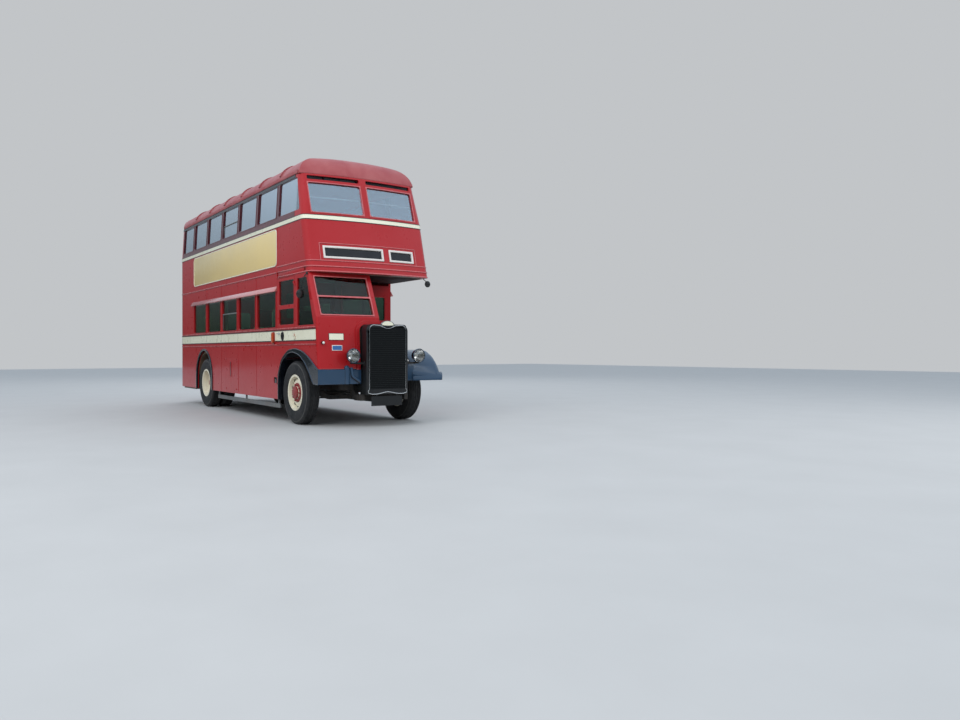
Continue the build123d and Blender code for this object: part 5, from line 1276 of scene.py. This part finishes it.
def puffed(name, low, high, look, keep=None):
    # A pad from corner to corner, blown up a little by cloth pressure so that its faces crown and its sides pull in
    inset = look["shrink"]
    pad = block(name, [c + inset for c in low], [c - inset for c in high], look["bevel"], 3)
    applied(pad, "REMESH", mode="VOXEL", voxel_size=look["voxel"])
    start = [vertex.co.copy() for vertex in pad.data.vertices]
    cloth = pad.modifiers.new("puff", "CLOTH")
    cloth.settings.quality = 4
    cloth.settings.mass = 0.3
    cloth.settings.use_pressure = True
    cloth.settings.uniform_pressure_force = 4
    cloth.settings.effector_weights.gravity = 0
    scene = bpy.context.scene
    for moment in range(1, 21):
        scene.frame_set(moment)
    shaped = pad.evaluated_get(bpy.context.evaluated_depsgraph_get())
    moved = [vertex.co.copy() for vertex in shaped.data.vertices]
    pad.modifiers.remove(cloth)
    scene.frame_set(1)
    for vertex, was, now in zip(pad.data.vertices, start, moved):
        step = now - was
        if step.length > look["swell"]:
            step *= look["swell"] / step.length
        vertex.co = was + step
    for vertex in pad.data.vertices:
        for axis in range(3):
            vertex.co[axis] = min(max(vertex.co[axis], low[axis] - 0.004), high[axis] + 0.004)
    applied(pad, "DECIMATE", ratio=min(1, (keep or look["faces"]) / max(1, 2 * len(pad.data.polygons))))
    return pad


def trimmed(pad, facing, cover=seatCloth):
    # Cloth on the face that is sat on or leant on, leather on the borders and the back
    pad.data.materials.append(cover)
    pad.data.materials.append(seatLeather)
    way = Vector(facing)
    for face in pad.data.polygons:
        face.material_index = int(face.normal.dot(way) < 0.35)
    return pad


def placedPad(master, name, place, lean, node):
    pad = copied(master, name)
    pad.rotation_euler = (0, math.radians(lean), 0)
    pad.location = place
    hang(pad, None, "seat_cloth", smooth=60)
    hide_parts(node)


def seats(look):
    wide, deep, thick, tall = look["width"], look["depth"], look["cushion"], look["back"]
    cushion = trimmed(puffed("cushion", (0, 0, -thick), (deep, wide, 0), look), (0, 0, 1))
    squab = trimmed(puffed("squab", (-0.040, 0, -tall / 2), (0.040, wide, tall / 2), look), (1, 0, 0))
    rows = [("lower", x, y, look["lowerFloor"]) for x in look["lowerXs"] for y in look["starts"]]
    rows += [("upper", x, y, look["upperFloor"]) for x in look["upperXs"] for y in look["starts"]]
    # The stair well takes the place of the upper deck's last offside seat
    del rows[-2]
    rails = {"lower": [], "upper": []}
    for i, (deck, x, y, level) in enumerate(rows):
        top = level + look["rise"]
        placedPad(cushion, f"{deck}Cushion{i:02d}", (x, y, top), 0, deck + "_seats")
        placedPad(squab, f"{deck}Squab{i:02d}", (x + 0.017, y, top + tall / 2 - 0.005), -look["lean"], deck + "_seats")
        z = top + tall
        half = [(x, y + 0.02, top - 0.05), (x - 0.050, y + 0.02, z + 0.004), (x - 0.052, y + 0.06, z + 0.022)]
        other = [(a, y + wide - (b - y), c) for a, b, c in half[::-1]]
        rails[deck].append(tube("rail", half + other, 0.011, rings=1))
    for deck, group in rails.items():
        hang(joined(group, deck + "SeatRails"), chrome, "frame_steel")
    # Benches over the wheel boxes, and the driver's seat
    for place, sign in sidePairs:
        rear, front = look["bench"]
        right, left = sorted((sign * 0.580, sign * 1.030))
        bench = puffed("benchCushion" + place, (rear, right, 1.210), (front, left, 1.292), look, 4000)
        right, left = sorted((sign * 1.012, sign * 1.078))
        back = puffed("benchBack" + place, (rear, right, 1.296), (front, left, 1.610), look, 3000)
        for pad, facing in ((bench, (0, 0, 1)), (back, (0, -sign, 0))):
            hang(trimmed(pad, facing), None, "seat_cloth", smooth=60)
            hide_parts("lower_seats")
    seat = puffed("driverCushion", (2.492, -0.860, 1.402), (2.910, -0.420, 1.500), look)
    back = puffed("driverBack", (2.412, -0.860, 1.404), (2.490, -0.420, 1.960), look)
    for pad, facing in ((seat, (0, 0, 1)), (back, (1, 0, 0))):
        hang(trimmed(pad, facing, seatLeather), None, "seat_leather", smooth=60)
        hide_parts("driver_seat")
    for master in (cushion, squab):
        bpy.data.objects.remove(master)


seats(seatLook)
print("seats made")
# The rear end, the platform and the bonnet
rearLook = {"face": -4.090, "upperFace": -4.106, "lampY": 0.800, "lampZ": 1.000, "plateY": (0.0, 0.520),
            "plateZ": (0.860, 0.985)}


def rearEnd(look):
    # Frames round the rear window and the emergency door's glass, its handle, the rear lamps and the blank plate
    strip("rearWindowFrame", "lower_rear", [(1, -0.385, 0.685), (2, 1.262, 2.238)], [(-1, 0, 0)], 0.010, mouldingRed,
          soft=0.003)
    x = look["upperFace"]
    bead = plate("emergencyBead", (-0.404, 0.394), (2.690, 3.990), x - 0.002, "x", 0.006, 0.045, 0.016)
    hang(bead, mouldingRed, body="emergency_door")
    frame = plate("emergencyFrame", (-0.348, 0.348), (3.522, 3.968), x - 0.003, "x", 0.012, 0.055, 0.024)
    hang(frame, mouldingRed, body="emergency_door")
    outline = [(0, 0), (0, 0.026), (0.010, 0.024), (0.014, 0.012), (0.030, 0.011), (0.032, 0)]
    boss = turned("handleBoss", outline, (x + 0.004, 0.330, 3.200), "-x", 24)
    run = [(x - 0.022, 0.330, 3.200), (x - 0.024, 0.300, 3.190), (x - 0.022, 0.215, 3.184)]
    lever = tube("handleLever", run, 0.008, bend=0.02)
    hang(joined([boss, lever], "emergencyHandle"), chrome, body="emergency_door")
    face = look["face"]
    for place, sign in sidePairs:
        spot = (face + 0.002, sign * look["lampY"], look["lampZ"])
        outline = [(0, 0), (0, 0.050), (0.010, 0.053), (0.020, 0.050), (0.023, 0.043), (0.018, 0.040), (0.016, 0)]
        ring = turned("rearLampRing" + place, outline, spot, "-x", 32)
        hang(ring, chrome)
        outline = [(0.014, 0), (0.014, 0.0405), (0.024, 0.038), (0.032, 0.026), (0.036, 0.010), (0.0365, 0)]
        lens = turned("rearLampLens" + place, outline, spot, "-x", 32)
        hang(lens, redLens)
        cuts = [(1, *around(sign * 0.640, 0.010)), (2, 0.395, 1.020)]
        strip("coverStrip" + place, "lower_rear", cuts, [(-1, 0, 0)], 0.005, bodyRed, soft=0.002)
    blank = plate("rearPlate", look["plateY"], look["plateZ"], face - 0.005, "x", 0.014, 0.012)
    hang(blank, radiatorBlack, "plate_black")
    lamp = block("plateLamp", (face - 0.040, 0.200, 0.990), (face + 0.002, 0.320, 1.022), 0.010, 3)
    hang(lamp, rimBlack)


rearEnd(rearLook)
platformLook = {"x": (-4.020, -2.985), "y": (-0.190, 1.090), "slat": 0.030, "gap": 0.056, "top": 0.4055}


def platform(look):
    # Hardwood slats over the platform, a ribbed nosing along its edge, and metal on the stair treads
    slats = []
    y = look["y"][0]
    while y + look["slat"] < look["y"][1]:
        x0 = look["x"][0] + (0.16 if y > 0.80 else 0.0)
        slats.append(block("slat", (x0, y, 0.397), (look["x"][1], y + look["slat"], look["top"]), 0.003))
        y += look["gap"]
    hang(joined(slats, "platformSlats"), floorWood)
    ribs = [block("rib", (-3.790, 1.100, 0.396), (-2.990, 1.1445, 0.406), 0.003)]
    ribs += [block("rib", (-3.785, 1.104 + i * 0.008, 0.403), (-2.995, 1.108 + i * 0.008, 0.409)) for i in range(5)]
    hang(joined(ribs, "platformNosing"), treadMetal)
    strip("stairTreads", "staircase", [(2, 0.45, 3.44)], [(0, 0, 1)], 0.004, treadMetal, limit=0.9)


platform(platformLook)
bonnetLook = {"louvres": 16, "x": 2.800, "step": 0.052, "z": (1.205, 1.395), "face": 0.408}


def bonnetDetail(look):
    # A bank of louvres in the flank, two catches at its foot and a lifting handle
    bank, y = [], look["face"]
    for i in range(look["louvres"]):
        x = look["x"] + i * look["step"]
        outline = [(x, y - 0.006), (x + 0.030, y - 0.006), (x + 0.030, y + 0.013), (x + 0.024, y + 0.013)]
        bank.append(prism("louvre", outline, "z", look["z"], 0.002))
    hang(joined(bank, "bonnetLouvres"), wingBlack, body="bonnet", smooth=40)
    parts = []
    for x in (2.560, 3.690):
        parts.append(block("catch", (x - 0.016, y - 0.002, 1.165), (x + 0.016, y + 0.014, 1.225), 0.004))
        run = [(x - 0.012, y + 0.010, 1.175), (x - 0.014, y + 0.020, 1.145), (x + 0.014, y + 0.020, 1.145),
               (x + 0.012, y + 0.010, 1.175)]
        parts.append(tube("catchLoop", run, 0.004, bend=0.01))
    run = [(3.020, y - 0.004, 1.470), (3.020, y + 0.026, 1.466), (3.160, y + 0.026, 1.466), (3.160, y - 0.004, 1.470)]
    parts.append(tube("lift", run, 0.007, bend=0.02))
    hang(joined(parts, "bonnetCatches"), dullMetal, "lamp_metal", body="bonnet")


bonnetDetail(bonnetLook)
ceilingLook = {"z": 2.4955, "xs": [1.50, 0.30, -0.90, -2.10], "y": 0.560}


def ceilingLamps(look):
    # Round lamps in two rows under the lower saloon's ceiling
    lamps = []
    outline = [(0.001, 0), (0.001, 0.060), (-0.008, 0.066), (-0.022, 0.060), (-0.036, 0.036), (-0.040, 0)]
    for x in look["xs"]:
        for y in (-look["y"], look["y"]):
            lamps.append(turned("lamp", outline, (x, y, look["z"]), "z", 24))
    hang(joined(lamps, "ceilingLamps"), bulbGlass)


ceilingLamps(ceilingLook)
print("rear end, platform and bonnet dressed")
# The floor and the light
bpy.ops.mesh.primitive_plane_add(size=1, location=(0, 0, 0))
floor = bpy.context.object
floor.name = "studioFloor"
floor.scale = (90, 90, 1)
bpy.ops.object.transform_apply(scale=True)
floorPaint, floorTree, floorShader = startMaterial("floorPaint", (0.50, 0.49, 0.48), 0.7)
floorCloud = noiseAt(floorTree, objectPoint(floorTree), 1.1, 5)
floorTree.links.new(mixed(floorTree, floorCloud, rgba((0.46, 0.455, 0.445)), rgba((0.52, 0.515, 0.505))),
                    floorShader.inputs["Base Color"])
floor.data.materials.append(floorPaint)

# A pale sky that darkens toward the horizon, behind an even backdrop
world = bpy.data.worlds.new("studio")
world.use_nodes = True
sky = world.node_tree
upward = splitUp(sky, addNode(sky, "TexCoord").outputs["Generated"])["Z"]
dome = mixed(sky, spread(sky, upward, 0.02, 0.36), rgba((0.045, 0.058, 0.052)), rgba((0.76, 0.87, 1.0)))
seen = addNode(sky, "LightPath").outputs["Is Camera Ray"]
sky.links.new(mixed(sky, seen, dome, rgba((0.60, 0.62, 0.64))), sky.nodes["Background"].inputs["Color"])
sky.nodes["Background"].inputs["Strength"].default_value = 0.9
bpy.context.scene.world = world


def softbox(name, place, aim, size, power):
    # A broad soft lamp that doesn't show in reflections
    direction = Vector(aim) - Vector(place)
    bpy.ops.object.light_add(type="AREA", location=place, rotation=direction.to_track_quat("-Z", "Y").to_euler())
    lamp = bpy.context.object
    lamp.name = name
    lamp.data.shape = "RECTANGLE"
    lamp.data.size, lamp.data.size_y = size
    lamp.data.energy = power
    lamp.visible_glossy = False


softbox("keyLight", (11, -14, 15), (0, 0, 2), (16, 14), 2300)
softbox("fillLight", (15, 9, 8), (1, 0, 2), (10, 8), 600)
softbox("backLight", (-13, 8, 14), (0, 0, 3), (14, 10), 800)
bpy.context.scene.view_settings.view_transform = "Standard"
